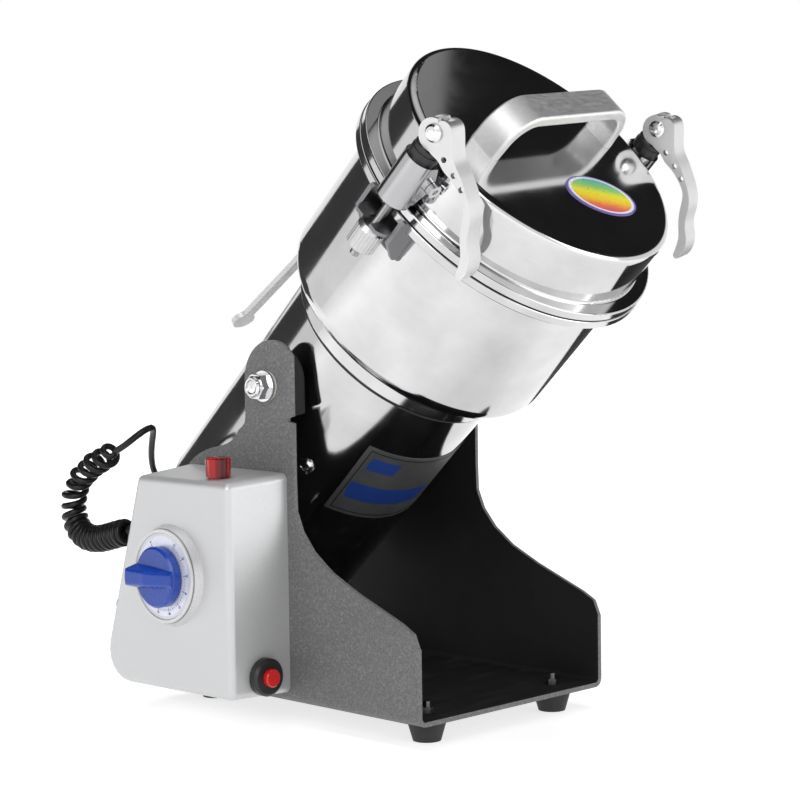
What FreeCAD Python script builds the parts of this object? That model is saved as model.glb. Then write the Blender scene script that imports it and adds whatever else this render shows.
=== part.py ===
import FreeCAD, Part
import math
import os
from FreeCAD import Placement, Rotation, Vector

# Electric grain mill. Millimetres, +Z up, the mill's tilt pivot runs along X.
# The base stands on four rubber feet, its front is -Y, and the control box is
# on the -X arm. The motor tube and grinding chamber lean forward on the pivot.

doc = FreeCAD.newDocument("grain_mill")
sheet = doc.addObject("Spreadsheet::Sheet", "Sheet")

SIZES = [
    # frame: the origin is under the middle of the part, on the floor
    ("shift_x", 10.86, "moves the model so its box is centred in X"),
    ("shift_y", 27.71, "moves the model so its box is centred in Y"),
    ("foot_high", 12.0, "rubber foot height, floor to base plate"),
    ("pivot_high", 170.9, "the mill's reference point above the base plate's underside"),
    ("pivot_back", 4.2, "tilt pivot behind that point"),
    ("pivot_up", 1.3, "tilt pivot above that point"),
    ("lean_angle", 46.93, "forward lean of the mill, degrees"),
    # base bracket
    ("sheet_thick", 2.5, "bent sheet of the base"),
    ("base_width", 146.0, "outside width across the arms"),
    ("bend_radius", 5.0, "outside radius of the bends"),
    ("head_radius", 22.0, "round top of each arm"),
    ("lip_bend", 30.0, "inward bend of the stiffening lip, degrees"),
    ("foot_top_radius", 11.0, "foot, at the plate"),
    ("foot_end_radius", 7.5, "foot, at the floor"),
    ("foot_span_x", 50.0, "feet, half spacing across"),
    ("foot_front_y", -92.0, "front feet"),
    ("foot_rear_y", 80.0, "rear feet"),
    # control box
    ("box_outer_x", -115.0, "outer face of the control box"),
    ("box_wall", 2.5, "wall of the control box"),
    ("dial_y", 37.8, "timer centre"),
    ("dial_z", 70.1, "timer centre"),
    ("dial_radius", 27.9, "white dial"),
    ("dial_thick", 6.0, "white dial"),
    ("knob_radius", 16.6, "blue timer knob"),
    ("knob_disc", 5.7, "knob disc thickness"),
    ("knob_grip", 8.4, "grip ridge height over the disc"),
    ("lamp_radius", 7.0, "red lamp lens at its top"),
    ("bezel_radius", 10.25, "ring round the reset button"),
    ("button_radius", 4.9, "reset button"),
    # motor tube
    ("tube_radius", 63.0, "motor tube, outside"),
    ("tube_wall", 1.5, "motor tube wall"),
    ("tube_low", -118.0, "lower end of the tube along the mill's axis"),
    ("tube_high", 40.0, "upper end of the tube"),
    ("stud_radius", 4.0, "pivot stud"),
    ("collar_radius", 67.0, "collar under the chamber"),
    # chamber and lid
    ("chamber_radius", 79.1, "grinding chamber, outside"),
    ("chamber_wall", 1.6, "grinding chamber wall"),
    ("chamber_floor", 53.0, "underside of the chamber floor"),
    ("rim_radius", 88.7, "flat rim of the chamber"),
    ("rim_low", 141.0, "rim, lower face"),
    ("rim_high", 145.8, "rim, upper face"),
    ("lid_lip_radius", 88.2, "lip of the lid"),
    ("lid_radius", 80.0, "lid wall, outside"),
    ("lid_top", 182.4, "top of the lid"),
    ("lid_corner", 4.0, "rounding of the lid's top edge"),
    ("handle_top", 209.5, "top of the handle"),
    ("handle_thick", 6.5, "handle strap thickness"),
    ("handle_width", 18.0, "handle strap width"),
    # clamps
    ("clamp_angle", 4.3, "clamps, degrees round from the pivot direction"),
    ("clamp_radius", 93.0, "clamp rods from the mill's axis"),
    ("rod_radius", 2.5, "clamp rod"),
    ("pin_height", 196.6, "cam pin along the mill's axis"),
    ("cam_big", 9.65, "cam radius, closed"),
    ("cam_small", 7.25, "cam radius, open"),
    ("lever_half", 5.9, "half width of the lever"),
    ("barrel_radius", 9.2, "clamp barrel"),
    ("lug_radius_at", 84.0, "swing pivot from the mill's axis"),
    ("lug_height", 167.0, "swing pivot along the mill's axis"),
    ("nut_top", 133.3, "top of the knurled nut"),
    # curly cord
    ("coil_radius", 8.3, "outer radius of the curly cord's coil"),
    ("strand_radius", 1.9, "radius of the cord itself"),
]

for number, (alias, value, note) in enumerate(SIZES):
    sheet.set("A%d" % (number + 1), note)
    sheet.set("B%d" % (number + 1), str(value))
    sheet.setAlias("B%d" % (number + 1), alias)
doc.recompute()


class Dim:
    """A length with its value and the sheet expression it comes from."""

    def __init__(self, value, text=None):
        self.value = float(value)
        self.text = text if text is not None else "(%.6f)" % float(value)

    def _mix(self, other, sign, flip=False):
        o = other if isinstance(other, Dim) else Dim(other)
        a, b = (o, self) if flip else (self, o)
        value = {"+": a.value + b.value, "-": a.value - b.value,
                 "*": a.value * b.value}[sign]
        return Dim(value, "(%s %s %s)" % (a.text, sign, b.text))

    def __add__(self, o):
        return self._mix(o, "+")

    __radd__ = __add__

    def __sub__(self, o):
        return self._mix(o, "-")

    def __rsub__(self, o):
        return self._mix(o, "-", True)

    def __mul__(self, o):
        return self._mix(o, "*")

    __rmul__ = __mul__

    def __neg__(self):
        return Dim(0) - self


def D(alias):
    return Dim(sheet.get(alias), "Sheet.%s" % alias)


def g(alias):
    return float(sheet.get(alias))


def dim(v):
    return v if isinstance(v, Dim) else Dim(v)


NODES = {}


def node(label, obj, place=None):
    if place is not None:
        obj.Placement = place
    obj.Label = label
    NODES[label] = obj
    return obj


def feature(label, shape, place=None):
    obj = doc.addObject("Part::Feature", "F_" + label)
    own = shape.Placement
    obj.Shape = shape
    obj.Placement = (place if place is not None else Placement()).multiply(own)
    return node(label, obj)


def primitive(kind, sizes, place=None, name="Prim"):
    obj = doc.addObject(kind, name)
    for key, val in sizes.items():
        val = dim(val)
        setattr(obj, key, val.value)
        obj.setExpression(key, val.text)
    if place is not None:
        obj.Placement = place
    return obj


def cylinder(r, h, place=None):
    return primitive("Part::Cylinder", {"Radius": r, "Height": h}, place)


def boolean(kind, base, tool):
    obj = doc.addObject(kind, "Bool")
    obj.Base = base
    obj.Tool = tool
    return obj


def group(label, objs, place=None):
    obj = doc.addObject("Part::Compound", "Group")
    obj.Links = objs
    return node(label, obj, place)


def closed_sketch(body, pts, plane):
    """A closed outline whose every corner is bound to the sheet."""
    sk = body.newObject("Sketcher::SketchObject", "Outline")
    for f in body.Origin.OriginFeatures:
        if f.Role == plane:
            sk.AttachmentSupport = [(f, "")]
    sk.MapMode = "FlatFace"
    n = len(pts)
    pts = [(dim(a), dim(b)) for a, b in pts]
    for i in range(n):
        a, b = pts[i], pts[(i + 1) % n]
        sk.addGeometry(Part.LineSegment(
            Vector(a[0].value, a[1].value, 0), Vector(b[0].value, b[1].value, 0)), False)
    import Sketcher
    for i in range(n):
        sk.addConstraint(Sketcher.Constraint("Coincident", i, 2, (i + 1) % n, 1))
    for i in range(n):
        for kind, q in (("DistanceX", pts[i][0]), ("DistanceY", pts[i][1])):
            k = sk.addConstraint(Sketcher.Constraint(kind, -1, 1, i, 1, q.value))
            sk.setExpression("Constraints[%d]" % k, q.text)
    return sk


def lathe(label, pts, place):
    """A turned piece: (radius, height) corners about the body's own Z."""
    body = doc.addObject("PartDesign::Body", "Body_" + label)
    sk = closed_sketch(body, pts, "XZ_Plane")
    rev = body.newObject("PartDesign::Revolution", "Turn")
    rev.Profile = sk
    rev.ReferenceAxis = (sk, ["V_Axis"])
    rev.Angle = 360.0
    body.Tip = rev
    return node(label, body, place) if label else body


def plate(label, pts, length, place):
    """A flat piece: a padded outline in the body's own XY plane."""
    body = doc.addObject("PartDesign::Body", "Body_" + label)
    sk = closed_sketch(body, pts, "XY_Plane")
    pad = body.newObject("PartDesign::Pad", "Thickness")
    pad.Profile = sk
    length = dim(length)
    pad.Length = length.value
    pad.setExpression("Length", length.text)
    body.Tip = pad
    return node(label, body, place)


def ring_pts(r_out, r_in, low, high):
    return [(r_in, low), (r_out, low), (r_out, high), (r_in, high)]


def turned(items):
    """Solid of revolution about Z from (r, z) points; ('arc', mid, end) rounds."""
    def v(p):
        return Vector(p[0], 0, p[1])
    edges = []
    start = items[0]
    last = start
    for it in items[1:]:
        if it[0] == "arc":
            edges.append(Part.Arc(v(last), v(it[1]), v(it[2])).toShape())
            last = it[2]
        else:
            edges.append(Part.makeLine(v(last), v(it)))
            last = it
    edges.append(Part.makeLine(v(last), v(start)))
    face = Part.Face(Part.Wire(edges))
    return face.revolve(Vector(0, 0, 0), Vector(0, 0, 1), 360)


def arc_to(cx, cz, r, a0, a1):
    """Round corner as an ('arc', mid, end) item, angles in degrees."""
    am = math.radians((a0 + a1) / 2.0)
    ae = math.radians(a1)
    return ("arc", (cx + r * math.cos(am), cz + r * math.sin(am)),
            (cx + r * math.cos(ae), cz + r * math.sin(ae)))


def cyl(r, p, d, length):
    return Part.makeCylinder(r, length, Vector(*p), Vector(*d))


def block(x0, x1, y0, y1, z0, z1):
    return Part.makeBox(x1 - x0, y1 - y0, z1 - z0, Vector(x0, y0, z0))


def prism_yz(pts, x0, x1):
    w = Part.makePolygon([Vector(x0, a, b) for a, b in pts + [pts[0]]])
    return Part.Face(w).extrude(Vector(x1 - x0, 0, 0))


def prism_xy(pts, z0, z1):
    w = Part.makePolygon([Vector(a, b, z0) for a, b in pts + [pts[0]]])
    return Part.Face(w).extrude(Vector(0, 0, z1 - z0))


def hexagon(af, low, high, bore=0.0):
    r = af / math.sqrt(3.0)
    s = prism_xy([(r * math.cos(math.radians(60 * i)), r * math.sin(math.radians(60 * i)))
                  for i in range(6)], low, high)
    cone = turned([(0, low), (r * 0.93, low), (r * 1.01, low + r * 0.05),
                   (r * 1.01, high - r * 0.05), (r * 0.93, high), (0, high)])
    s = s.common(cone)
    if bore:
        s = s.cut(cyl(bore, (0, 0, low - 1), (0, 0, 1), high - low + 2))
    return s


def route(points, label, dia):
    """Straight runs joined by tangent arcs as large as the runs allow."""
    p = [Vector(*q) for q in points]
    edges = []
    cur = p[0]
    radii = []
    for i in range(1, len(p) - 1):
        a = (p[i - 1] - p[i])
        b = (p[i + 1] - p[i])
        la, lb = a.Length, b.Length
        a.normalize()
        b.normalize()
        turn = math.pi - a.getAngle(b)
        cut = 0.45 * min(la, lb)
        r = cut / math.tan(turn / 2.0)
        radii.append(round(r, 1))
        s0 = p[i] + a * cut
        s1 = p[i] + b * cut
        bis = a + b
        bis.normalize()
        centre = p[i] + bis * math.hypot(cut, r)
        mid = centre - bis * r
        if (s0 - cur).Length > 1e-6:
            edges.append(Part.LineSegment(cur, s0).toShape())
        edges.append(Part.Arc(s0, mid, s1).toShape())
        cur = s1
    edges.append(Part.LineSegment(cur, p[-1]).toShape())
    w = Part.Wire(edges)
    print("%s: length %.1f mm, arc radii %s" % (label, w.Length, radii))
    return w


def tube(points, r, label):
    w = route(points, label, 2 * r)
    p0 = Vector(*points[0])
    d0 = Vector(*points[1]) - p0
    prof = Part.Wire([Part.makeCircle(r, p0, d0)])
    s = w.makePipeShell([prof], True, False)
    want = math.pi * r * r * w.Length
    print("%s: volume %.1f, section times length %.1f" % (label, s.Volume, want))
    return s


# ---------------------------------------------------------------- frames
BX, BY = g("shift_x"), g("shift_y")
base_at = Placement(Vector(BX, BY, g("foot_high")), Rotation())
mill_at = Placement(Vector(BX, BY, g("foot_high") + g("pivot_high")),
                    Rotation(Vector(1, 0, 0), g("lean_angle")))


def base_pose(p, rot=None):
    return base_at.multiply(Placement(Vector(*p), rot if rot is not None else Rotation()))


def mill_pose(p, rot=None):
    return mill_at.multiply(Placement(Vector(*p), rot if rot is not None else Rotation()))


TO_MINUS_X = Rotation(Vector(0, 1, 0), -90)   # a turned piece's Z looks along -X
TO_MINUS_Y = Rotation(Vector(1, 0, 0), 90)    # ... along -Y
TO_PLUS_Y = Rotation(Vector(1, 0, 0), -90)    # ... along +Y

# ---------------------------------------------------------------- base bracket
t = g("sheet_thick")
hw = g("base_width") / 2.0
zp = g("pivot_high")
hr = g("head_radius")

outer = block(-hw, hw, -112, 104, 0, 215)
edges = [e for e in outer.Edges if abs(e.BoundBox.ZMax) < 0.01 and e.BoundBox.YLength > 50]
outer = outer.makeFillet(g("bend_radius"), edges)
inner = block(-hw + t, hw - t, -114, 106, t, 220)
edges = [e for e in inner.Edges if abs(e.BoundBox.ZMax - t) < 0.01 and e.BoundBox.YLength > 50]
inner = inner.makeFillet(g("bend_radius") - t, edges)
channel = outer.cut(inner)
head_y, head_z = 0.2, 175.3
arc_pts = []
for i in range(0, 25):
    a = math.radians(0 + i * 7.5)
    arc_pts.append((head_y + hr * math.cos(a), head_z + hr * math.sin(a)))
front = [(-109, 0), (-109, 40), (-105.4, 48.2), (-97.3, 52.5), (-82.6, 58.2),
         (-63.8, 65.5), (-44.6, 74.4), (-30.9, 84.1), (-22.1, 94.3), (-17.4, 104.9),
         (-16.9, 121), (-17, 152.5), (-12.6, 153.4)]
rear = [(22.2, 175.3), (22.2, 162), (22.2, 154.6), (23.0, 151.4), (25.2, 149.2), (28.0, 147.4), (29.4, 145.4),
        (31.4, 143.2), (34.4, 141.0), (38.2, 139.2), (43.6, 137.8), (50.2, 136.5), (56.4, 134.9), (62.2, 132.6),
        (67.4, 129.8), (71.6, 126.6), (76.0, 121.0), (80, 112), (98, 40), (100, 25), (100, 0)]
wire_edges = []
fp = [Vector(-90, a, b) for a, b in front]
for a, b in zip(fp, fp[1:]):
    wire_edges.append(Part.makeLine(a, b))
zc = head_z + math.sqrt(hr ** 2 - (-12.6 - head_y) ** 2)
wire_edges.append(Part.makeLine(fp[-1], Vector(-90, -12.6, zc)))
wire_edges.append(Part.Arc(Vector(-90, -12.6, zc), Vector(-90, head_y + 5, head_z + math.sqrt(hr ** 2 - 25)),
                           Vector(-90, head_y + hr, head_z)).toShape())
rp = [Vector(-90, a, b) for a, b in [(head_y + hr, head_z)] + rear[1:]]
for a, b in zip(rp, rp[1:]):
    wire_edges.append(Part.makeLine(a, b))
wire_edges.append(Part.makeLine(rp[-1], fp[0]))
side = Part.Face(Part.Wire(wire_edges)).extrude(Vector(180, 0, 0))
bracket = channel.common(side)
# stiffening lips on the arms' front edges
lip_edges = [Part.makeLine(Vector(0, -12.6, 155), Vector(0, -21.8, 158)),
             Part.makeLine(Vector(0, -21.8, 158), Vector(0, head_y - hr, head_z)),
             Part.Arc(Vector(0, head_y - hr, head_z),
                      Vector(0, head_y - hr * math.cos(math.radians(25)),
                             head_z + hr * math.sin(math.radians(25))),
                      Vector(0, -12.6, zc)).toShape(),
             Part.makeLine(Vector(0, -12.6, zc), Vector(0, -12.6, 155))]
for sgn in (-1, 1):
    lip = Part.Face(Part.Wire(lip_edges)).extrude(Vector(t, 0, 0))
    if sgn < 0:
        lip.translate(Vector(-hw, 0, 0))
    else:
        lip.translate(Vector(hw - t, 0, 0))
    lip.rotate(Vector(sgn * hw, -12.6, 0), Vector(0, 0, 1), -sgn * g("lip_bend"))
    bracket = bracket.fuse(lip)
bracket = bracket.removeSplitter()
for sx in (-1, 1):
    bracket = bracket.cut(cyl(6.0, (sx * (hw - t - 3), g("pivot_back"), zp + g("pivot_up")), (sx, 0, 0), t + 6))
    for fy in (g("foot_front_y"), g("foot_rear_y")):
        bracket = bracket.cut(cyl(2.2, (sx * g("foot_span_x"), fy, -1), (0, 0, 1), t + 2))
BOX_SCREWS = [(-3.0, 100.0), (-3.0, 45.0), (58.0, 112.0), (84.0, 20.0)]
for y, z in BOX_SCREWS:
    bracket = bracket.cut(cyl(1.6, (-hw - 1, y, z), (1, 0, 0), t + 2))
feature("base_bracket", bracket, base_at)

# ---------------------------------------------------------------- feet
feet, screws, nuts = [], [], []
fh = D("foot_high")
for sx in (-1, 1):
    for fy in ("foot_front_y", "foot_rear_y"):
        at = base_pose((sx * g("foot_span_x"), g(fy), -g("foot_high")))
        cone = primitive("Part::Cone", {"Radius1": D("foot_end_radius"),
                                        "Radius2": D("foot_top_radius"), "Height": fh}, at)
        bore = cylinder(2.2, fh, at)
        recess = cylinder(4.2, 4.0, at)
        feet.append(boolean("Part::Cut", boolean("Part::Cut", cone, bore), recess))
        head = cylinder(3.8, 2.6, at.multiply(Placement(Vector(0, 0, 1.4), Rotation())))
        shaft = cylinder(2.0, fh - 4.0 + D("sheet_thick") + 6.2,
                         at.multiply(Placement(Vector(0, 0, 4.0), Rotation())))
        screws.append(boolean("Part::Fuse", head, shaft))
        nuts.append((sx * g("foot_span_x"), g(fy)))
group("rubber_feet", feet)
hexes = []
for x, y in nuts:
    nt = hexagon(7.0, t, t + 3.2, 2.0)
    nt.rotate(Vector(0, 0, 0), Vector(0, 0, 1), 17)
    nt.translate(Vector(x, y, 0))
    hexes.append(nt)
foot_nuts = doc.addObject("Part::Feature", "FootNuts")
foot_nuts.Shape = Part.makeCompound(hexes)
foot_nuts.Placement = base_at
group("foot_bolts", screws + [foot_nuts])

# ---------------------------------------------------------------- pivot bushes
sr = g("stud_radius")
bushes = []
for sx in (-1, 1):
    b = turned([(sr + 0.06, 0), (6.0, 0), (6.0, t), (8.4, t), (8.4, t + 1.0), (sr + 0.06, t + 1.0)])
    b.rotate(Vector(0, 0, 0), Vector(0, 1, 0), 90 * sx)
    b.translate(Vector(sx * (hw - t), g("pivot_back"), zp + g("pivot_up")))
    bushes.append(b)
feature("pivot_bushes", Part.makeCompound(bushes), base_at)

# ---------------------------------------------------------------- control box
bo = g("box_outer_x")
bw = g("box_wall")


def corner_pts(a, c, b, r, n=6):
    """Points of the arc of radius r that rounds corner c between a and b."""
    va = Vector(a[0] - c[0], a[1] - c[1], 0)
    vb = Vector(b[0] - c[0], b[1] - c[1], 0)
    va.normalize()
    vb.normalize()
    half = va.getAngle(vb) / 2.0
    bis = va + vb
    bis.normalize()
    centre = Vector(c[0], c[1], 0) + bis * (r / math.sin(half))
    p0 = Vector(c[0], c[1], 0) + va * (r / math.tan(half)) - centre
    p1 = Vector(c[0], c[1], 0) + vb * (r / math.tan(half)) - centre
    a0, a1 = math.atan2(p0.y, p0.x), math.atan2(p1.y, p1.x)
    while a1 - a0 > math.pi:
        a1 -= 2 * math.pi
    while a0 - a1 > math.pi:
        a1 += 2 * math.pi
    return [(centre.x + r * math.cos(a0 + (a1 - a0) * k / n), centre.y + r * math.sin(a0 + (a1 - a0) * k / n))
            for k in range(n + 1)]


out_face = [(-11.0, 7.0), (-11.0, 123.0), (66.0, 123.0)] + corner_pts((66.0, 123.0), (102.6, 5.6), (-11.0, 7.0), 17.0)
in_face = [(-11.2, 5.5), (-11.2, 125.5), (71.8, 126.2)] + corner_pts((71.8, 126.2), (107.4, 3.2), (-11.2, 5.5), 17.0)


def yz_wire(pts, x):
    return Part.makePolygon([Vector(x, a, b) for a, b in pts + [pts[0]]])


def inset(pts, d):
    """Every edge of a convex outline moved inward by d."""
    n = len(pts)
    cy = sum(p[0] for p in pts) / n
    cz = sum(p[1] for p in pts) / n
    lines = []
    for i in range(n):
        (a, b), (c, e) = pts[i], pts[(i + 1) % n]
        ln = math.hypot(c - a, e - b)
        nx, ny = -(e - b) / ln, (c - a) / ln
        if (cy - a) * nx + (cz - b) * ny < 0:
            nx, ny = -nx, -ny
        lines.append((nx, ny, nx * a + ny * b + d))
    res = []
    for i in range(n):
        a1, b1, c1 = lines[i - 1]
        a2, b2, c2 = lines[i]
        det = a1 * b2 - a2 * b1
        res.append(((c1 * b2 - c2 * b1) / det, (a1 * c2 - a2 * c1) / det))
    return res


shell = Part.makeLoft([yz_wire(in_face, -hw - 0.05), yz_wire(out_face, bo)], True, True)
edges = [e for e in shell.Edges if abs(e.BoundBox.XMin - bo) < 0.01 and e.BoundBox.XLength < 0.01]
long_edges = [e for e in shell.Edges if e.BoundBox.XLength > 30 and
              (e.BoundBox.ZMin > 100 or e.BoundBox.YMin < 0)]
try:
    shell = shell.makeFillet(4.0, edges + long_edges)
except Exception:
    print("box: rounding only the outer face")
    shell = shell.makeFillet(3.0, edges)
cavity = Part.makeLoft([yz_wire(inset(in_face, bw), -hw + 0.5),
                        yz_wire(inset(out_face, bw), bo + bw)], True, True)
shell = shell.cut(cavity)
for y, z in BOX_SCREWS:
    shell = shell.fuse(cyl(4.0, (bo + bw - 0.5, y, z), (1, 0, 0), -hw - 0.05 - bo - bw + 0.5))
    shell = shell.cut(cyl(1.5, (-hw - 14, y, z), (1, 0, 0), 15))
dy, dz = g("dial_y"), g("dial_z")
lamp_x, lamp_y = -102.5, 11.0
brk_x, brk_z = -92.0, 17.3
coil_x, coil_z = -95.0, 87.3
inlet_x, inlet_z = -95.0, 45.0
shell = shell.cut(cyl(5.2, (bo - 1, dy, dz), (1, 0, 0), bw + 2))
shell = shell.cut(cyl(5.5, (lamp_x, lamp_y, 115), (0, 0, 1), 15))
shell = shell.cut(cyl(9.0, (brk_x, -13, brk_z), (0, 1, 0), 6))
shell = shell.cut(cyl(6.0, (coil_x, 70, coil_z), (0, 1, 0), 20))
shell = shell.cut(cyl(6.0, (inlet_x, 84, inlet_z), (0, 1, 0), 20))
feature("control_box_shell", shell, base_at)

bs = []
for y, z in BOX_SCREWS:
    s = cyl(1.5, (-hw + t, y, z), (-1, 0, 0), 14.0)
    s = s.fuse(turned([(0, 0), (3.2, 0), (3.0, 1.4), (2.0, 2.3), (0, 2.4)]).transformed(
        Placement(Vector(-hw + t, y, z), Rotation(Vector(0, 1, 0), 90)).toMatrix()))
    bs.append(s)
feature("box_screws", Part.makeCompound(bs), base_at)

# dial, timer and knob share the timer's axis, which looks along -X
timer_at = base_pose((bo, dy, dz), TO_MINUS_X)
dr = D("dial_radius")
lathe("dial_plate", [(5.2, 0), (dr, 0), (dr - 0.6, 1.6), (dr - 2.4, D("dial_thick")),
                     (dr - 4.0, D("dial_thick")), (dr - 4.6, D("dial_thick") - 0.7),
                     (5.2, D("dial_thick") - 0.7)], timer_at)
tb = block(-20, 20, -20, 20, -26, -bw - 0.02)
tb = tb.fuse(turned([(0, -30), (12, -30), (12, -26), (0, -26)]))
tb = tb.cut(cyl(4.1, (0, 0, -20), (0, 0, 1), 20))
feature("timer_body", tb, timer_at)
feature("timer_shaft", cyl(4.0, (0, 0, -19.5), (0, 0, 1), 19.5 + g("dial_thick") + 4.0), timer_at)
kr, kd, kg = g("knob_radius"), g("knob_disc"), g("knob_grip")
kb = g("dial_thick") + 0.3
knob = turned([(0, kb), (kr, kb), (kr, kb + kd - 1.2), (kr - 1.2, kb + kd), (0, kb + kd)])
# the grip is a ridge along the world's Y: full height at the rear rim, and it
# runs out towards the front rim
z_d = kb + kd


def ridge_wire(y, base_half, top_half, top):
    p4 = [Vector(-base_half, y, z_d - 0.6), Vector(base_half, y, z_d - 0.6),
          Vector(top_half, y, z_d + top), Vector(-top_half, y, z_d + top)]
    return Part.makePolygon(p4 + [p4[0]])


bar = Part.makeLoft([ridge_wire(kr, 6.9, 4.2, kg), ridge_wire(0.0, 6.2, 3.6, kg - 1.2),
                     ridge_wire(-kr, 5.0, 2.6, 0.9)], True, True)
bar = bar.common(cyl(kr - 0.5, (0, 0, kb), (0, 0, 1), kd + kg + 1))
for rad in (2.0, 1.4, 0.8):
    top_edges = [e for e in bar.Edges if e.BoundBox.ZMin > z_d + 0.3 and e.BoundBox.ZMax > z_d + 1.5]
    try:
        soft = bar.makeFillet(rad, top_edges)
        if soft.isValid() and soft.Volume > 0.8 * bar.Volume:
            bar = soft
            print("knob ridge rounded", rad)
            break
    except Exception:
        print("knob ridge: no rounding at", rad)
knob = knob.fuse(bar).removeSplitter()
knob = knob.cut(cyl(4.0, (0, 0, kb - 1), (0, 0, 1), g("dial_thick") + 5.0 - kb))
feature("timer_knob", knob, timer_at)

# lamp on the box's top
lamp_at = base_pose((lamp_x, lamp_y, 123.0))
lr = D("lamp_radius")
lathe("lamp_lens", [(0, -20), (4.5, -20), (4.5, -4), (5.5, -4), (5.5, 1.6), (lr - 0.3, 1.6), (lr, 11.2),
                    (lr - 0.5, 12.0), (0, 12.0)], lamp_at)

# circuit breaker: ring on the box's front face, sprung button in the middle
brk_at = base_pose((brk_x, -11.0, brk_z), TO_MINUS_Y)
zr = D("bezel_radius")
lathe("breaker_body", [(0, -24), (8.6, -24), (8.6, -3.0), (9.0, -3.0), (9.0, 0.25), (zr, 0.25), (zr, 4.2),
                       (zr - 1.3, 5.5), (5.0, 5.5), (5.0, -7.0), (0, -7.0)], brk_at)
br = D("button_radius")
lathe("reset_button", [(0, -3.4), (br, -3.4), (br, 7.9), (br - 0.6, 8.5), (0, 8.5)], brk_at)

# glands in the box's rear face
glands = []
for gx, gz, y0 in ((coil_x, coil_z, 79.6), (inlet_x, inlet_z, 93.6)):
    gl = turned([(3.0, -8), (5.9, -8), (5.9, 2.4), (9.2, 2.4), (9.2, 6.4), (7.4, 6.4), (5.2, 13.4), (3.0, 13.4)])
    gl = gl.transformed(Placement(Vector(gx, y0, gz), TO_PLUS_Y).toMatrix()).cut(shell)
    glands.append(gl)
feature("box_glands", Part.makeCompound(glands), base_at)

# ---------------------------------------------------------------- curly cord
coil_end = (-95.0, 108.0, 134.0)
coil_pts = [(-95, 93.0, 87.3), (-95, 104.5, 86.6), (-95, 116.5, 83.4), (-95, 128.5, 80.6),
            (-95, 139.5, 80.3), (-95, 148.6, 84.2), (-95, 153.2, 93.0), (-95, 152.8, 103.4),
            (-95, 148.0, 112.6), (-95, 139.6, 119.6), (-95, 129.4, 125.2), (-95, 118.6, 129.9),
            coil_end]
feature("curly_cord_coil", tube(coil_pts, g("coil_radius"), "curly_cord_coil"), base_at)
lead_pts = [coil_end, (-94.7, 100.2, 137.8), (-92.6, 94.4, 142.2), (-88.0, 91.6, 145.8), (-82.0, 93.0, 146.8),
            (-76.8, 99.2, 143.0), (-71.6, 107.6, 135.8), (-66.0, 115.6, 126.8), (-60.0, 121.4, 118.0),
            (-53.0, 123.4, 110.0), (-45.2, 120.6, 103.8), (-37.3, 114.5, 100.0)]
feature("curly_cord_lead", tube(lead_pts, g("strand_radius"), "curly_cord_lead"), base_at)

# ---------------------------------------------------------------- motor tube
tr, tw = g("tube_radius"), g("tube_wall")
tl, th = g("tube_low"), g("tube_high")
# the tilt pivot in the mill's own frame
lean = math.radians(g("lean_angle"))
PL = g("pivot_back") * math.cos(lean) + g("pivot_up") * math.sin(lean)
PS = -g("pivot_back") * math.sin(lean) + g("pivot_up") * math.cos(lean)
house = turned([(tr - tw, tl), (tr, tl), (tr, th), (tr - tw, th)])
for sx in (-1, 1):
    house = house.cut(cyl(sr, (sx * (tr - 6), PL, PS), (sx, 0, 0), 12))
SCREW_S = -25.5
SCREW_A = [-146.6 + 120 * k for k in range(3)]
for a in SCREW_A:
    ca, sa = math.cos(math.radians(a)), math.sin(math.radians(a))
    house = house.cut(cyl(2.0, (ca * (tr - 6), sa * (tr - 6), SCREW_S), (ca, sa, 0), 12))
feature("motor_housing", house, mill_at)

hs = []
for a in SCREW_A:
    s = turned([(0, -9), (2.0, -9), (2.0, 0), (4.0, 0.15), (3.6, 1.3), (2.2, 2.2), (0, 2.4)])
    s = s.transformed(Placement(Vector(tr * math.cos(math.radians(a)), tr * math.sin(math.radians(a)), SCREW_S),
                                Rotation(Vector(0, 0, 1), a).multiply(Rotation(Vector(0, 1, 0), 90))).toMatrix())
    hs.append(s)
feature("housing_screws", Part.makeCompound(hs), mill_at)

mount = turned([(50.1, -33), (tr - tw, -33), (tr - tw, -18), (50.1, -18)])
for a in SCREW_A:
    ca, sa = math.cos(math.radians(a)), math.sin(math.radians(a))
    mount = mount.cut(cyl(2.0, (ca * 53.9, sa * 53.9, SCREW_S), (ca, sa, 0), 12))
feature("motor_mount_ring", mount, mill_at)

cap = turned([(0, tl - 4), (tr - 2, tl - 4), (tr, tl - 2), (tr, tl), (tr - tw, tl), (tr - tw, tl + 8),
              (tr - tw - 1.5, tl + 8), (tr - tw - 1.5, tl), (0, tl)])
for ring, count in ((22.0, 8), (36.0, 12), (48.0, 16)):
    for i in range(count):
        a = 2 * math.pi * i / count + 0.2
        px, py = ring * math.cos(a), ring * math.sin(a)
        if math.hypot(px + 25, py - 10) > 14:
            cap = cap.cut(cyl(3.0, (px, py, tl - 5), (0, 0, 1), 6))
cap = cap.cut(cyl(4.0, (-25, 10, tl - 5), (0, 0, 1), 6))
feature("bottom_cap", cap, mill_at)

elbow = cyl(7.5, (-25, 10, tl - 4), (0, 0, -1), 3.0).fuse(cyl(5.2, (-25, 10, tl - 4), (0, 0, -1), 10.0))
elbow = elbow.fuse(Part.makeSphere(5.2, Vector(-25, 10, tl - 14)))
elbow = elbow.fuse(Part.makeCone(5.2, 3.6, 20.0, Vector(-25, 10, tl - 14), Vector(-0.6, 0.8, 0)))
elbow = elbow.fuse(cyl(4.0, (-25, 10, tl - 4), (0, 0, 1), 9.0)).removeSplitter()
feature("motor_cord_gland", elbow, mill_at)

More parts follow.
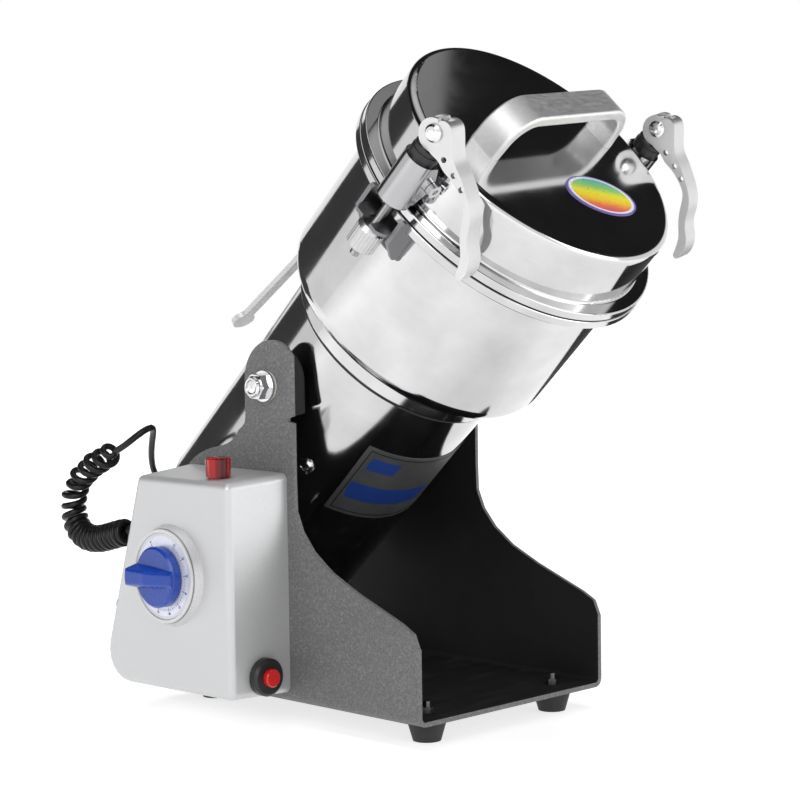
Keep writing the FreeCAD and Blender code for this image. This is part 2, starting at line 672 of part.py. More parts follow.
# pivot hardware on both sides
studs, spacers, washers, pnuts = [], [], [], []
for sx in (-1, 1):
    rot = Rotation(Vector(0, 1, 0), 90 * sx)
    m = Placement(Vector(0, PL, PS), rot).toMatrix()
    st = turned([(0, 55.5), (8.0, 55.5), (8.0, 60.3), (sr, 60.3), (sr, 82.9), (sr - 0.7, 83.7), (0, 83.9)])
    studs.append(st.transformed(m))
    sp = turned([(sr, 62.0), (9.0, 62.0), (9.0, 69.4), (8.0, 70.3), (sr, 70.3)])
    sp = sp.transformed(m).cut(Part.makeCylinder(tr, 40, Vector(0, 0, -20)))
    spacers.append(sp)
    wa = turned([(sr, hw + 1.2), (8.5, hw + 1.2), (8.5, hw + 2.8), (sr, hw + 2.8)])
    washers.append(wa.transformed(m))
    pn = hexagon(13.0, hw + 2.8, hw + 8.6, sr)
    pn = pn.fuse(turned([(sr, hw + 8.0), (5.9, hw + 8.0), (5.9, hw + 10.2), (5.2, hw + 11.2), (4.7, hw + 11.4),
                         (sr, hw + 11.2)])).removeSplitter()
    pn.rotate(Vector(0, 0, 0), Vector(0, 0, 1), 12)
    pnuts.append(pn.transformed(m))
feature("pivot_studs", Part.makeCompound(studs), mill_at)
feature("pivot_spacers", Part.makeCompound(spacers), mill_at)
feature("pivot_nuts", Part.makeCompound(washers + pnuts), mill_at)

# ---------------------------------------------------------------- motor, fixed pieces
stator = turned([(30.6, -55), (50.0, -55), (50.0, -5), (30.6, -5)])
for sx in (-1, 1):
    stator = stator.cut(block(28 if sx > 0 else -42, 42 if sx > 0 else -28, -7, 7, -56, -4))
feature("stator_core", stator, mill_at)
coils = []
for sy in (-1, 1):
    for z0, z1 in ((-5, 9), (-69, -55)):
        c = turned([(32.5, z0), (44, z0), (44, z1), (32.5, z1)])
        wedge = prism_xy([(0, 0), (60, 25 * sy), (60, 90 * sy), (-60, 90 * sy), (-60, 25 * sy)], z0 - 1, z1 + 1)
        coils.append(c.common(wedge))
feature("field_coils", Part.makeCompound(coils), mill_at)


def end_bracket(z, hub_low, hub_high, ring_low, ring_high):
    r_in = tr - tw
    s = turned([(11.0, hub_low), (16, hub_low), (16, hub_high), (11.0, hub_high)])
    s = s.fuse(turned([(51, ring_low), (r_in, ring_low), (r_in, ring_high), (51, ring_high)]))
    for k in range(4):
        a = 45 + 90 * k
        arm = block(13, 53, -6, 6, z, z + 4)
        arm.rotate(Vector(0, 0, 0), Vector(0, 0, 1), a)
        s = s.fuse(arm)
    return s.removeSplitter()


brackets = [end_bracket(30, 28, 38, 28, 38), end_bracket(-96, -100, -90, -100, -90)]
feature("motor_brackets", Part.makeCompound(brackets), mill_at)
feature("motor_bearings", Part.makeCompound([turned([(5.0, 28.5), (11.0, 28.5), (11.0, 37.5), (5.0, 37.5)]),
                                             turned([(5.0, -99.5), (11.0, -99.5), (11.0, -91), (5.0, -91)])]), mill_at)
brushes = []
for sx in (-1, 1):
    b = block(14.3, 44, -5, 5, -82, -74)
    b = b.fuse(block(38, 46, -5, 5, -92.0, -74))
    if sx < 0:
        b.rotate(Vector(0, 0, 0), Vector(0, 0, 1), 180)
    b.rotate(Vector(0, 0, 0), Vector(0, 0, 1), 45)
    brushes.append(b)
feature("brush_holders", Part.makeCompound(brushes), mill_at)

# ---------------------------------------------------------------- rotor
shaft = turned([(0, -101), (5.0, -101), (5.0, 62), (4.0, 62), (4.0, 80), (3.4, 80.6), (0, 80.6)])
feature("motor_shaft", shaft, mill_at)
arm_core = turned([(5.0, -56), (30.0, -56), (30.0, -4), (5.0, -4)])
for k in range(12):
    sl = block(20, 32, -1.4, 1.4, -57, -3)
    sl.rotate(Vector(0, 0, 0), Vector(0, 0, 1), 30 * k)
    arm_core = arm_core.cut(sl)
feature("armature_core", arm_core, mill_at)
lathe("commutator", ring_pts(14.0, 5.0, -84, -70), mill_at)
fan = turned([(5.0, 12), (10, 12), (10, 24), (5.0, 24)]).fuse(turned([(9, 12), (46, 12), (46, 13.5), (9, 13.5)]))
for k in range(9):
    bl = block(14, 45, -0.8, 0.8, 13, 24)
    bl.rotate(Vector(0, 0, 0), Vector(0, 0, 1), 40 * k)
    fan = fan.fuse(bl)
feature("cooling_fan", fan, mill_at)


def blade(z, up):
    s = block(-40, 40, -9, 9, z, z + 2.4)
    for sx in (-1, 1):
        tip = prism_xy([(0, -9), (26, -5), (30, 4), (26, 9), (0, 9)], 0, 2.4)
        tip.rotate(Vector(0, 0, 0), Vector(0, 1, 0), -up)
        if sx < 0:
            tip.rotate(Vector(0, 0, 0), Vector(0, 0, 1), 180)
        tip.translate(Vector(sx * 39.0, 0, z))
        s = s.fuse(tip)
    return s.cut(cyl(4.0, (0, 0, z - 2), (0, 0, 1), 8))


low_blade = blade(64.0, 8)
top_blade = blade(69.0, 22)
top_blade.rotate(Vector(0, 0, 0), Vector(0, 0, 1), 90)
blade_spacer = turned([(4.0, 66.4), (9.0, 66.4), (9.0, 69.0), (4.0, 69.0)])
blade_seat = turned([(4.0, 62.0), (9.0, 62.0), (9.0, 64.0), (4.0, 64.0)])
feature("blades", Part.makeCompound([low_blade, top_blade]), mill_at)
feature("blade_fasteners", Part.makeCompound([blade_spacer, blade_seat, hexagon(13.0, 71.4, 78.4, 4.0)]), mill_at)

# ---------------------------------------------------------------- chamber
cr, cw, cf = g("chamber_radius"), g("chamber_wall"), g("chamber_floor")
rr, rl, rh = g("rim_radius"), g("rim_low"), g("rim_high")
ci = cr - cw
chamber = turned([(9.0, cf), (68.1, cf), arc_to(68.1, cf + 11, 11, -90, 0), (cr, rl - 2), arc_to(cr + 2, rl - 2, 2, 180, 90),
                  (rr - 0.8, rl), arc_to(rr - 0.8, rl + 0.8, 0.8, -90, 0), (rr, rh - 0.8),
                  arc_to(rr - 0.8, rh - 0.8, 0.8, 0, 90), (ci + 1.0, rh),
                  arc_to(ci + 1.0, rh - 1.0, 1.0, 90, 180), (ci, cf + 12),
                  arc_to(ci - 9.4, cf + 12, 9.4, 0, -90), (9.0, cf + 2.6)])
feature("chamber_shell", chamber, mill_at)
lathe("shaft_seal", [(5.06, cf), (9.0, cf), (9.0, cf + 2.6), (14.0, cf + 2.6), (14.0, cf + 5.0), (12.0, cf + 6.0), (5.06, cf + 6.0)], mill_at)
co = g("collar_radius")
feature("housing_collar", turned([(tr - 4, 42.2), (co - 1.2, 42.2), arc_to(co - 1.2, 43.4, 1.2, -90, 0), (co, 51.8),
                                  arc_to(co - 1.2, 51.8, 1.2, 0, 90), (tr - 4, 53.0)]), mill_at)
lathe("collar_gasket", ring_pts(65.0, 59.5, D("tube_high"), 42.2), mill_at)

# ---------------------------------------------------------------- lid
lr_, lt, lp = g("lid_radius"), g("lid_top"), g("lid_lip_radius")
lw = 1.5
lc = g("lid_corner")
lid = turned([(lr_ - lw, 146.4), (81.0, 146.4), (81.0, 147.4), (86.0, 147.4), (86.0, 146.4), (lp - 0.6, 146.4),
              arc_to(lp - 0.6, 147.0, 0.6, -90, 0), (lp, 150.2), arc_to(lp - 0.8, 150.2, 0.8, 0, 90),
              (lr_ + 1.5, 151.0), arc_to(lr_ + 1.5, 152.5, 1.5, -90, -180), (lr_, lt - lc),
              arc_to(lr_ - lc, lt - lc, lc, 0, 90), (0, lt), (0, lt - lw), (lr_ - lc, lt - lw),
              arc_to(lr_ - lc, lt - lc, lc - lw, 90, 0)])
feature("lid_shell", lid, mill_at)
lathe("lid_seal", ring_pts(86.0, 81.0, 145.8, 147.4), mill_at)

# handle: a bent strap on the lid's top
ht, hth, hwd = g("handle_top"), g("handle_thick"), g("handle_width")
zc_ = ht - hth / 2.0


def strap_outline(off):
    """One side of the strap at an offset from its centreline, left foot to right foot."""
    foot_x, bend_x = 49.4, 48.0
    rc = 17.0
    leg = math.atan2(zc_ - (lt - 6.0), foot_x + 2.2 - bend_x)
    # leg direction from the foot up to the bend
    ux, uz = -math.cos(leg), math.sin(leg)
    # right half: foot on the right
    turn_ang = leg
    tan_len = rc * math.tan(turn_ang / 2.0)
    s0 = (bend_x - ux * tan_len, zc_ - uz * tan_len)
    s1 = (bend_x - tan_len, zc_)
    cx, cz = s1[0], zc_ - rc
    a_leg = math.pi / 2 - leg
    r = rc + off
    pts = {}
    nx, nz = math.cos(a_leg), math.sin(a_leg)
    pts["foot"] = (foot_x + 2.2 + nx * off, lt - 6.0 + nz * off)
    pts["arc0"] = (cx + r * nx, cz + r * nz)
    am = (a_leg + math.pi / 2) / 2
    pts["arcm"] = (cx + r * math.cos(am), cz + r * math.sin(am))
    pts["arc1"] = (cx, cz + r)
    return pts


o = strap_outline(hth / 2.0)
i_ = strap_outline(-hth / 2.0)


def vx(p, sgn=1):
    return Vector(sgn * p[0], -hwd / 2.0, p[1])


he = [Part.makeLine(vx(o["foot"]), vx(o["arc0"])),
      Part.Arc(vx(o["arc0"]), vx(o["arcm"]), vx(o["arc1"])).toShape(),
      Part.makeLine(vx(o["arc1"]), vx(o["arc1"], -1)),
      Part.Arc(vx(o["arc1"], -1), vx(o["arcm"], -1), vx(o["arc0"], -1)).toShape(),
      Part.makeLine(vx(o["arc0"], -1), vx(o["foot"], -1)),
      Part.makeLine(vx(o["foot"], -1), vx(i_["foot"], -1)),
      Part.makeLine(vx(i_["foot"], -1), vx(i_["arc0"], -1)),
      Part.Arc(vx(i_["arc0"], -1), vx(i_["arcm"], -1), vx(i_["arc1"], -1)).toShape(),
      Part.makeLine(vx(i_["arc1"], -1), vx(i_["arc1"])),
      Part.Arc(vx(i_["arc1"]), vx(i_["arcm"]), vx(i_["arc0"])).toShape(),
      Part.makeLine(vx(i_["arc0"]), vx(i_["foot"])),
      Part.makeLine(vx(i_["foot"]), vx(o["foot"]))]
handle = Part.Face(Part.Wire(he)).extrude(Vector(0, hwd, 0))
handle = handle.cut(block(-80, 80, -20, 20, lt - 20, lt))
try:
    long_e = [e for e in handle.Edges if e.BoundBox.YLength < 0.01 and e.BoundBox.ZMin > lt - 0.01
              and e.BoundBox.ZLength + e.BoundBox.XLength > 3 and e.BoundBox.ZMax > lt + 0.1]
    handle = handle.makeFillet(1.6, long_e)
except Exception:
    print("handle: edges left square")
handle_at = mill_at.multiply(Placement(Vector(5, 6, 0), Rotation(Vector(0, 0, 1), 8)))
feature("lid_handle", handle, handle_at)
badge = Part.Face(Part.Wire([Part.Ellipse(Vector(0, 0, 0), 23.6, 13.7).toShape()])).extrude(Vector(0, 0, 0.5))
feature("lid_badge", badge, mill_at.multiply(Placement(Vector(18.4, -33.9, lt), Rotation(Vector(0, 0, 1), -11.5))))

# rating label: a thin patch round the front of the tube
lab = turned([(tr, -44), (tr + 0.3, -44), (tr + 0.3, 7.5), (tr, 7.5)])
a0, a1 = math.radians(-127), math.radians(-53)
lab = lab.common(prism_xy([(0, 0), (90 * math.cos(a0), 90 * math.sin(a0)), (0, -110),
                           (90 * math.cos(a1), 90 * math.sin(a1))], -45, 9))
feature("rating_label", lab, mill_at)

# tilt lever behind the collar
co_l = math.sqrt(co ** 2 - 20.0 ** 2)
path = [(co_l - 1.0, 47.5), (70.0, 46.0), (73.0, 38.0), (75.0, 20.0), (84.0, -37.0)]
lever_bar = None
for (l0, s0), (l1, s1) in zip(path, path[1:]):
    d = Vector(0, l1 - l0, s1 - s0)
    seg = block(-3.2, 3.2, -1.5, 1.5, 0, d.Length)
    seg = seg.transformed(Placement(Vector(-20, l0, s0), Rotation(Vector(0, 0, 1), d)).toMatrix())
    joint = cyl(1.5, (-23.2, l0, s0), (1, 0, 0), 6.4)
    seg = seg.fuse(joint)
    lever_bar = seg if lever_bar is None else lever_bar.fuse(seg)
dirv = Vector(0, 9.0, -57.0)
dirv.normalize()
end_n = Vector(0, dirv.z, -dirv.y)
paddle = Part.makeCylinder(6.8, 3.0, Vector(-20, 84, -37) - end_n * 1.5, end_n)
lever_bar = lever_bar.fuse(paddle).cut(Part.makeCylinder(co, 20, Vector(0, 0, 38))).removeSplitter()
feature("tilt_lever", lever_bar, mill_at)

# ---------------------------------------------------------------- clamps
# clamp frame: X outward from the mill's axis, Y to the lid's front, Z along the axis
lug_r, lug_s = g("lug_radius_at"), g("lug_height")
cl_r = g("clamp_radius")
ba_r = g("barrel_radius")
rod_r = g("rod_radius")
pin_s = g("pin_height")
lh = g("lever_half")
phi = g("clamp_angle")

lug = block(74, lug_r, -5, 5, lug_s - 4, lug_s + 4).fuse(cyl(4.0, (lug_r, -5, lug_s), (0, 1, 0), 10))
lug = lug.fuse(block(74, 81.8, -9, 9, lug_s - 9, lug_s + 3.4)).removeSplitter()
lug = lug.cut(Part.makeCylinder(lr_, 60, Vector(0, 0, 140))).cut(cyl(2.0, (lug_r, -6, lug_s), (0, 1, 0), 12))
# the pad on the lid stays behind the cheeks' swing
lug = lug.cut(cyl(4.6, (lug_r, -12, lug_s), (0, 1, 0), 6.8)).cut(cyl(4.6, (lug_r, 5.2, lug_s), (0, 1, 0), 6.8))
lug_screw = cyl(2.0, (lug_r, -10.5, lug_s), (0, 1, 0), 19.7).fuse(
    cyl(3.8, (lug_r, 9.2, lug_s), (0, 1, 0), 3.2)).cut(cyl(1.7, (lug_r, 10.4, lug_s), (0, 1, 0), 3))
tail_nut = hexagon(6.0, 0, 2.4, 2.0).transformed(
    Placement(Vector(lug_r, -9.2, lug_s), Rotation(Vector(1, 0, 0), 90)).toMatrix())
barrel = cyl(ba_r, (cl_r, 0, 152.0), (0, 0, 1), 27.5)
cheek_out = [(lug_r - 3.0, lug_s - 2.6), (lug_r, lug_s - 4.0), (88.5, 155.0), (cl_r, 155.0), (cl_r, 179.4),
             (88.5, 179.4), (lug_r, lug_s + 4.0), (lug_r - 3.0, lug_s + 2.6)]
w = Part.makePolygon([Vector(a, -9.0, b) for a, b in cheek_out + [cheek_out[0]]])
cheeks = Part.Face(w).extrude(Vector(0, 18.0, 0)).fuse(cyl(4.0, (lug_r, -9, lug_s), (0, 1, 0), 18))
barrel = barrel.fuse(cheeks).removeSplitter()
barrel = barrel.cut(block(70, 88.7, -5.3, 5.3, 140, 190))
barrel = barrel.cut(cyl(rod_r + 0.1, (cl_r, 0, 150), (0, 0, 1), 32))
barrel = barrel.cut(cyl(2.06, (lug_r, -12, lug_s), (0, 1, 0), 24))
stack = turned([(rod_r + 0.1, 179.5), (7.4, 179.5), (7.4, 181.3), (rod_r + 0.1, 181.3)])
stack2 = turned([(rod_r + 0.1, 181.3), (8.0, 181.3), (8.0, 184.3), (rod_r + 0.1, 184.3)])
stack3 = turned([(rod_r + 0.1, 184.3), (7.6, 184.3), (7.6, 186.8), (rod_r + 0.1, 186.8)])
at_rod = Placement(Vector(cl_r, 0, 0), Rotation()).toMatrix()
cam_washers = Part.makeCompound([k_.transformed(at_rod) for k_ in (stack, stack2, stack3)])

hook_base = turned([(cr, 121), (cr + 2.0, 121), (cr + 2.0, 140.8), (cr, 140.8)]).common(
    block(70, 90, -15, 15, 115, 145))
hook = hook_base.fuse(cyl(12.4, (cl_r - 0.6, 0, 135.5), (0, 0, 1), 2.0)).fuse(
    block(cr + 0.3, cl_r - 0.6, -12.4, 12.4, 135.5, 137.5))
leg_pts = [(cr - 2, 122.0), (84.0, 122.0), (95.0, 133.0), (95.0, 146.5), (93.5, 148.0), (91.5, 148.0), (cr - 2, 141.0)]
w = Part.makePolygon([Vector(a, 0, b) for a, b in leg_pts + [leg_pts[0]]])
leg_face = Part.Face(w)
for sy in (-1, 1):
    leg = leg_face.extrude(Vector(0, 2.6, 0))
    leg.translate(Vector(0, 12.2 if sy > 0 else -14.8, 0))
    hook = hook.fuse(leg)
hook = hook.cut(Part.makeCylinder(rr + 0.1, 20, Vector(0, 0, 140.9))).cut(Part.makeCylinder(cr, 60, Vector(0, 0, 100)))
hook = hook.cut(block(cl_r, 120, -3, 3, 130, 145)).cut(cyl(3.0, (cl_r, 0, 130), (0, 0, 1), 12)).removeSplitter()
hook = hook.cut(block(101.8, 120, -20, 20, 110, 150)).cut(chamber)

# lever outline: X forward, Y up, the lever's own width along Z
front_under = [(5.6, -9.3), (10.1, -9.4), (14.7, -11), (19.7, -11.5), (25.2, -12.7), (30, -14.6), (33.4, -16.7),
               (36.9, -22), (39.9, -27.7), (43.6, -32.8), (47.6, -37.6), (50.2, -43.5), (51.4, -47.2)]
back_over = [(53.4, -48.2), (55.0, -46.8), (54.8, -41.2), (51.6, -35.2), (47.2, -31), (44.1, -26.4), (41.4, -20.8),
             (38.3, -16.6), (33.5, -12.6), (28.3, -9.4), (22.8, -6.3), (16.7, -3.3), (12.7, 0.6), (8.2, 6.2),
             (5.2, 8.6), (2.7, 8.9)]


def smooth(pts):
    bs_ = Part.BSplineCurve()
    bs_.interpolate([Vector(a, b, 0) for a, b in pts])
    return bs_.toShape()


arm_wire = Part.Wire([smooth([(0, -7.0)] + front_under), smooth([front_under[-1]] + back_over[:2]),
                      smooth(back_over[1:] + [(-1.0, 6.8)]), Part.makeLine(Vector(-1.0, 6.8, 0), Vector(0, -7.0, 0))])
arm = Part.Face(arm_wire).extrude(Vector(0, 0, 2 * lh))
big, small = g("cam_big"), g("cam_small")
cam_pts = []
for k in range(-8, 64):
    q = k * 2.5
    rad = big - (big - small) * min(max(q, 0.0), 150.0) / 150.0
    ang = math.radians(-90.0 - q)
    cam_pts.append(Vector(rad * math.cos(ang), rad * math.sin(ang), 0))
cam_curve = Part.BSplineCurve()
cam_curve.interpolate(cam_pts)
cam_wire = Part.Wire([cam_curve.toShape(), Part.makeLine(cam_pts[-1], Vector(6.0, 2.0, 0)),
                      Part.makeLine(Vector(6.0, 2.0, 0), cam_pts[0])])
cam = Part.Face(cam_wire).extrude(Vector(0, 0, 2 * lh))
lever = arm.fuse(cam)
# nothing of the lever reaches past the cam's lowest and its fully open line
lever = lever.cut(block(-12, 9.5, -30, -big, -1, 20))
ang = math.radians(120)
slab = block(small, 40, -40, 9.0, -1, 20)
slab.rotate(Vector(0, 0, 0), Vector(0, 0, 1), 120)
lever = lever.cut(slab)
lever.translate(Vector(0, 0, -lh))
slot = [(-15, -30), (33, -30), (33, -16.6), (28.6, -12.4), (22.8, -9.0), (16.7, -6.1), (12.0, -2.6), (7.2, 3.6),
        (4.8, 6.2), (2.4, 6.6), (2.4, 15), (-15, 15)]
w = Part.makePolygon([Vector(a, b, -3.0) for a, b in slot + [slot[0]]])
lever = lever.cut(Part.Face(w).extrude(Vector(0, 0, 6.0)))
for hx, hy in ((12.0, -6.6), (20.6, -9.0), (28.0, -11.6)):
    lever = lever.cut(cyl(1.5, (hx, hy, -10), (0, 0, 1), 20))
lever = lever.cut(cyl(3.05, (0, 0, -10), (0, 0, 1), 20)).removeSplitter()

cam_pin = cyl(3.0, (0, 0, -lh - 0.3), (0, 0, 1), 2 * lh + 0.6)
for sgn in (-1, 1):
    cap_ = turned([(0, 0), (4.7, 0), (4.5, 0.9), (3.4, 1.9), (1.8, 2.4), (0, 2.5)])
    if sgn < 0:
        cap_.rotate(Vector(0, 0, 0), Vector(1, 0, 0), 180)
    cap_.translate(Vector(0, 0, sgn * (lh + 0.3)))
    cam_pin = cam_pin.fuse(cap_)

# rod: eye round the cam pin, thread down through the hook's fork
a_dir = Vector(math.sin(math.radians(16.0)), -math.cos(math.radians(16.0)), 0)
n_dir = Vector(-math.cos(math.radians(16.0)), -math.sin(math.radians(16.0)), 0)
nut_bore = rod_r + 0.05
knurl = turned([(nut_bore, 0), (6.6, 0), (8.0, 1.2), (8.0, 12.6), (6.4, 15.3), (nut_bore, 15.3)])
for k in range(24):
    c_ = cyl(0.55, (8.25 * math.cos(math.radians(15 * k)), 8.25 * math.sin(math.radians(15 * k)), -1), (0, 0, 1), 18)
    knurl = knurl.cut(c_)
nut_low = g("nut_top") - 15.3

lugs, lug_screws, hooks = [], [], []
for side_name, turn in (("left", 180.0 + phi), ("right", phi)):
    rot = Rotation(Vector(0, 0, 1), turn)
    er = rot.multVec(Vector(1, 0, 0))
    frame = Placement(Vector(0, 0, 0), rot)
    flip = side_name == "right"

    def put(shape):
        s_ = shape.copy()
        if flip:
            s_ = s_.mirror(Vector(0, 0, 0), Vector(0, 1, 0))
        return s_.transformed(frame.toMatrix())

    lugs.append(put(lug))
    lug_screws.append(put(lug_screw))
    lug_screws.append(put(tail_nut))
    hooks.append(put(hook))
    feature(side_name + "_clamp_barrel", put(barrel), mill_at)
    feature(side_name + "_cam_washers", put(cam_washers), mill_at)
    pin_at = er * cl_r + Vector(0, 0, pin_s)
    m = FreeCAD.Matrix(a_dir.x, 0, n_dir.x, pin_at.x,
                       a_dir.y, 0, n_dir.y, pin_at.y,
                       a_dir.z, 1, n_dir.z, pin_at.z,
                       0, 0, 0, 1)
    lever_at = mill_at.multiply(Placement(m))
    feature(side_name + "_lever", lever, lever_at)
    feature(side_name + "_cam_pin", cam_pin, lever_at)
    eye = cyl(6.0, (0, 0, -2.8), (0, 0, 1), 5.6)
    shank = Part.makeCylinder(rod_r, 84.0, Vector(0, 0, 0), Vector(0, -1, 0))
    rod = eye.fuse(shank).cut(cyl(3.06, (0, 0, -4), (0, 0, 1), 8)).removeSplitter()
    feature(side_name + "_rod", rod, lever_at)
    feature(side_name + "_knurled_nut", knurl, mill_at.multiply(
        Placement(er * cl_r + Vector(0, 0, nut_low), rot)))
feature("lid_lugs", Part.makeCompound(lugs), mill_at)
feature("lug_screws", Part.makeCompound(lug_screws), mill_at)
feature("chamber_hooks", Part.makeCompound(hooks), mill_at)

# ---------------------------------------------------------------- write
doc.recompute()
bad = []
for obj in doc.Objects:
    if "Invalid" in obj.State or "Error" in obj.State:
        bad.append("%s %s" % (obj.Name, obj.State))
box = FreeCAD.BoundBox()
for label, obj in NODES.items():
    s = obj.Shape
    if s.isNull() or not s.isValid() or not s.Solids:
        bad.append("%s: null, not valid or not solid" % label)
        continue
    if label not in ("curly_cord_coil", "curly_cord_lead"):
        box.add(s.BoundBox)
if bad:
    raise RuntimeError("; ".join(bad))
print("nodes %d; box x %.2f..%.2f y %.2f..%.2f z %.2f..%.2f; centre %.2f %.2f" % (
    len(NODES), box.XMin, box.XMax, box.YMin, box.YMax, box.ZMin, box.ZMax, box.Center.x, box.Center.y))
os.makedirs("parts", exist_ok=True)
for label, obj in NODES.items():
    obj.Shape.exportStep("parts/%s.step" % label)
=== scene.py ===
import bpy
import bmesh
import math
from mathutils import Matrix, Vector


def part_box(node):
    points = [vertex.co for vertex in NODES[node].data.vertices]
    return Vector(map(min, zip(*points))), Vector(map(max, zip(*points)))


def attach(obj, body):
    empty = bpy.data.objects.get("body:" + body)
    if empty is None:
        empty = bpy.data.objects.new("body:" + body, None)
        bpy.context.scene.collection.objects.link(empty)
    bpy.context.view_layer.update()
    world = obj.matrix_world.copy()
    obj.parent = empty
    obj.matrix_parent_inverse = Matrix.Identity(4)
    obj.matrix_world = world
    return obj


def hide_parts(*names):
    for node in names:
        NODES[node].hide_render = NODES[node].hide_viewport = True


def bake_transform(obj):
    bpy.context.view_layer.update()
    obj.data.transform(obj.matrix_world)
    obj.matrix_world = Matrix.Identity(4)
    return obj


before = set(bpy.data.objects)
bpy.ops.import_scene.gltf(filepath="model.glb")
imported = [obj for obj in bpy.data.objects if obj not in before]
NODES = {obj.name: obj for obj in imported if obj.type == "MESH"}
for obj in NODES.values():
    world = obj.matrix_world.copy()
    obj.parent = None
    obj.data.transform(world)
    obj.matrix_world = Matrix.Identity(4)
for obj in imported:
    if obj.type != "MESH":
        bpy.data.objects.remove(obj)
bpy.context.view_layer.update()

# ------------------------------------------------------------------ frames
# Everything is in metres in the model's own frame. A few helpers take
# millimetres in the base's frame (pivot mid-plane, pivot axis, base underside)
# and in the mill's own frame (across, lateral, along its axis).
FOOT, PIVOT = 12.0, 170.9
lo_, hi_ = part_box("base_bracket")
BX, BY = (lo_[0] + hi_[0]) * 500.0, lo_[1] * 1000.0 + 109.0
LEAN = math.radians(46.93)
BASE = Matrix.Translation(Vector((BX, BY, FOOT)) / 1000.0)
MILL = Matrix.Translation(Vector((BX, BY, FOOT + PIVOT)) / 1000.0) @ Matrix.Rotation(LEAN, 4, "X")


def bp(x, y, z):
    return BASE @ (Vector((x, y, z)) / 1000.0)


def mp(x, l, s):
    return MILL @ (Vector((x, l, s)) / 1000.0)


# ------------------------------------------------------------------ camera
cam_data = bpy.data.cameras.new("camera")
cam = bpy.data.objects.new("camera", cam_data)
bpy.context.scene.collection.objects.link(cam)
cam_data.sensor_width = 36.0
cam_data.lens = 2035.63 / 800.0 * 36.0
cam_data.clip_end = 50.0
yaw, pitch, roll = math.radians(-44.98), math.radians(3.45), math.radians(-0.82)
back = Vector((math.sin(yaw) * math.cos(pitch), -math.cos(yaw) * math.cos(pitch), math.sin(pitch)))
right = Vector((math.cos(yaw), math.sin(yaw), 0.0))
up = back.cross(right)
r2 = right * math.cos(roll) + up * math.sin(roll)
u2 = -right * math.sin(roll) + up * math.cos(roll)
eye = bp(-803.65, -829.71, 230.22)
cam.matrix_world = Matrix(((r2.x, u2.x, back.x, eye.x), (r2.y, u2.y, back.y, eye.y),
                           (r2.z, u2.z, back.z, eye.z), (0, 0, 0, 1)))
bpy.context.scene.camera = cam


# ------------------------------------------------------------------ mesh helpers
def link(ob):
    bpy.context.scene.collection.objects.link(ob)
    return ob


def mesh_object(name, verts, faces, mat=None, smooth=True):
    me = bpy.data.meshes.new(name)
    me.from_pydata([tuple(v) for v in verts], [], faces)
    me.validate()
    me.update()
    for p in me.polygons:
        p.use_smooth = smooth
    ob = link(bpy.data.objects.new(name, me))
    if mat is not None:
        me.materials.append(mat)
    return ob


def sharpen(ob, angle=35.0):
    """Smooth shading that keeps edges sharper than the angle."""
    me = ob.data
    for p in me.polygons:
        p.use_smooth = True
    bm = bmesh.new()
    bm.from_mesh(me)
    lim = math.radians(angle)
    for e in bm.edges:
        e.smooth = not (len(e.link_faces) == 2 and e.calc_face_angle(0.0) > lim)
    bm.to_mesh(me)
    bm.free()
    return ob


def tube_mesh(name, pts, radius, mat, sides=10, caps=True, radii=None):
    """Round tube along points, with a frame carried from point to point."""
    pts = [Vector(p) for p in pts]
    n = len(pts)
    tang = []
    for i in range(n):
        a = pts[max(i - 1, 0)]
        b = pts[min(i + 1, n - 1)]
        t = (b - a)
        tang.append(t.normalized() if t.length > 1e-12 else Vector((0, 0, 1)))
    side = tang[0].orthogonal().normalized()
    verts, faces = [], []
    for i in range(n):
        side = (side - tang[i] * side.dot(tang[i])).normalized()
        other = tang[i].cross(side)
        r = radii[i] if radii else radius
        for k in range(sides):
            a = 2 * math.pi * k / sides
            verts.append(pts[i] + (side * math.cos(a) + other * math.sin(a)) * r)
    for i in range(n - 1):
        for k in range(sides):
            k2 = (k + 1) % sides
            faces.append((i * sides + k, i * sides + k2, (i + 1) * sides + k2, (i + 1) * sides + k))
    if caps:
        faces.append(tuple(range(sides - 1, -1, -1)))
        faces.append(tuple((n - 1) * sides + k for k in range(sides)))
    return mesh_object(name, verts, faces, mat)


# ------------------------------------------------------------------ materials
BADGE_AT, BADGE_TURN = (18.4, -33.9), -11.5


def new_mat(name):
    m = bpy.data.materials.new(name)
    m.use_nodes = True
    nt = m.node_tree
    bsdf = nt.nodes["Principled BSDF"]
    return m, nt, bsdf


def coords(nt, kind="Object"):
    return nt.nodes.new("ShaderNodeTexCoord").outputs[kind]


def noise(nt, scale, detail=3.0, rough=0.5, vec=None, stretch=None):
    n = nt.nodes.new("ShaderNodeTexNoise")
    n.inputs["Scale"].default_value = scale
    n.inputs["Detail"].default_value = detail
    n.inputs["Roughness"].default_value = rough
    v = vec if vec is not None else coords(nt)
    if stretch:
        mp_ = nt.nodes.new("ShaderNodeMapping")
        mp_.inputs["Scale"].default_value = stretch
        nt.links.new(v, mp_.inputs["Vector"])
        v = mp_.outputs["Vector"]
    nt.links.new(v, n.inputs["Vector"])
    return n.outputs["Fac"]


def ramp(nt, fac, stops, smooth=False):
    r = nt.nodes.new("ShaderNodeValToRGB")
    if smooth:
        r.color_ramp.interpolation = "EASE"
    el = r.color_ramp.elements
    while len(el) < len(stops):
        el.new(0.5)
    for e, (p, c) in zip(el, stops):
        e.position = p
        e.color = (c[0], c[1], c[2], 1.0) if hasattr(c, "__len__") else (c, c, c, 1.0)
    nt.links.new(fac, r.inputs["Fac"])
    return r.outputs["Color"]


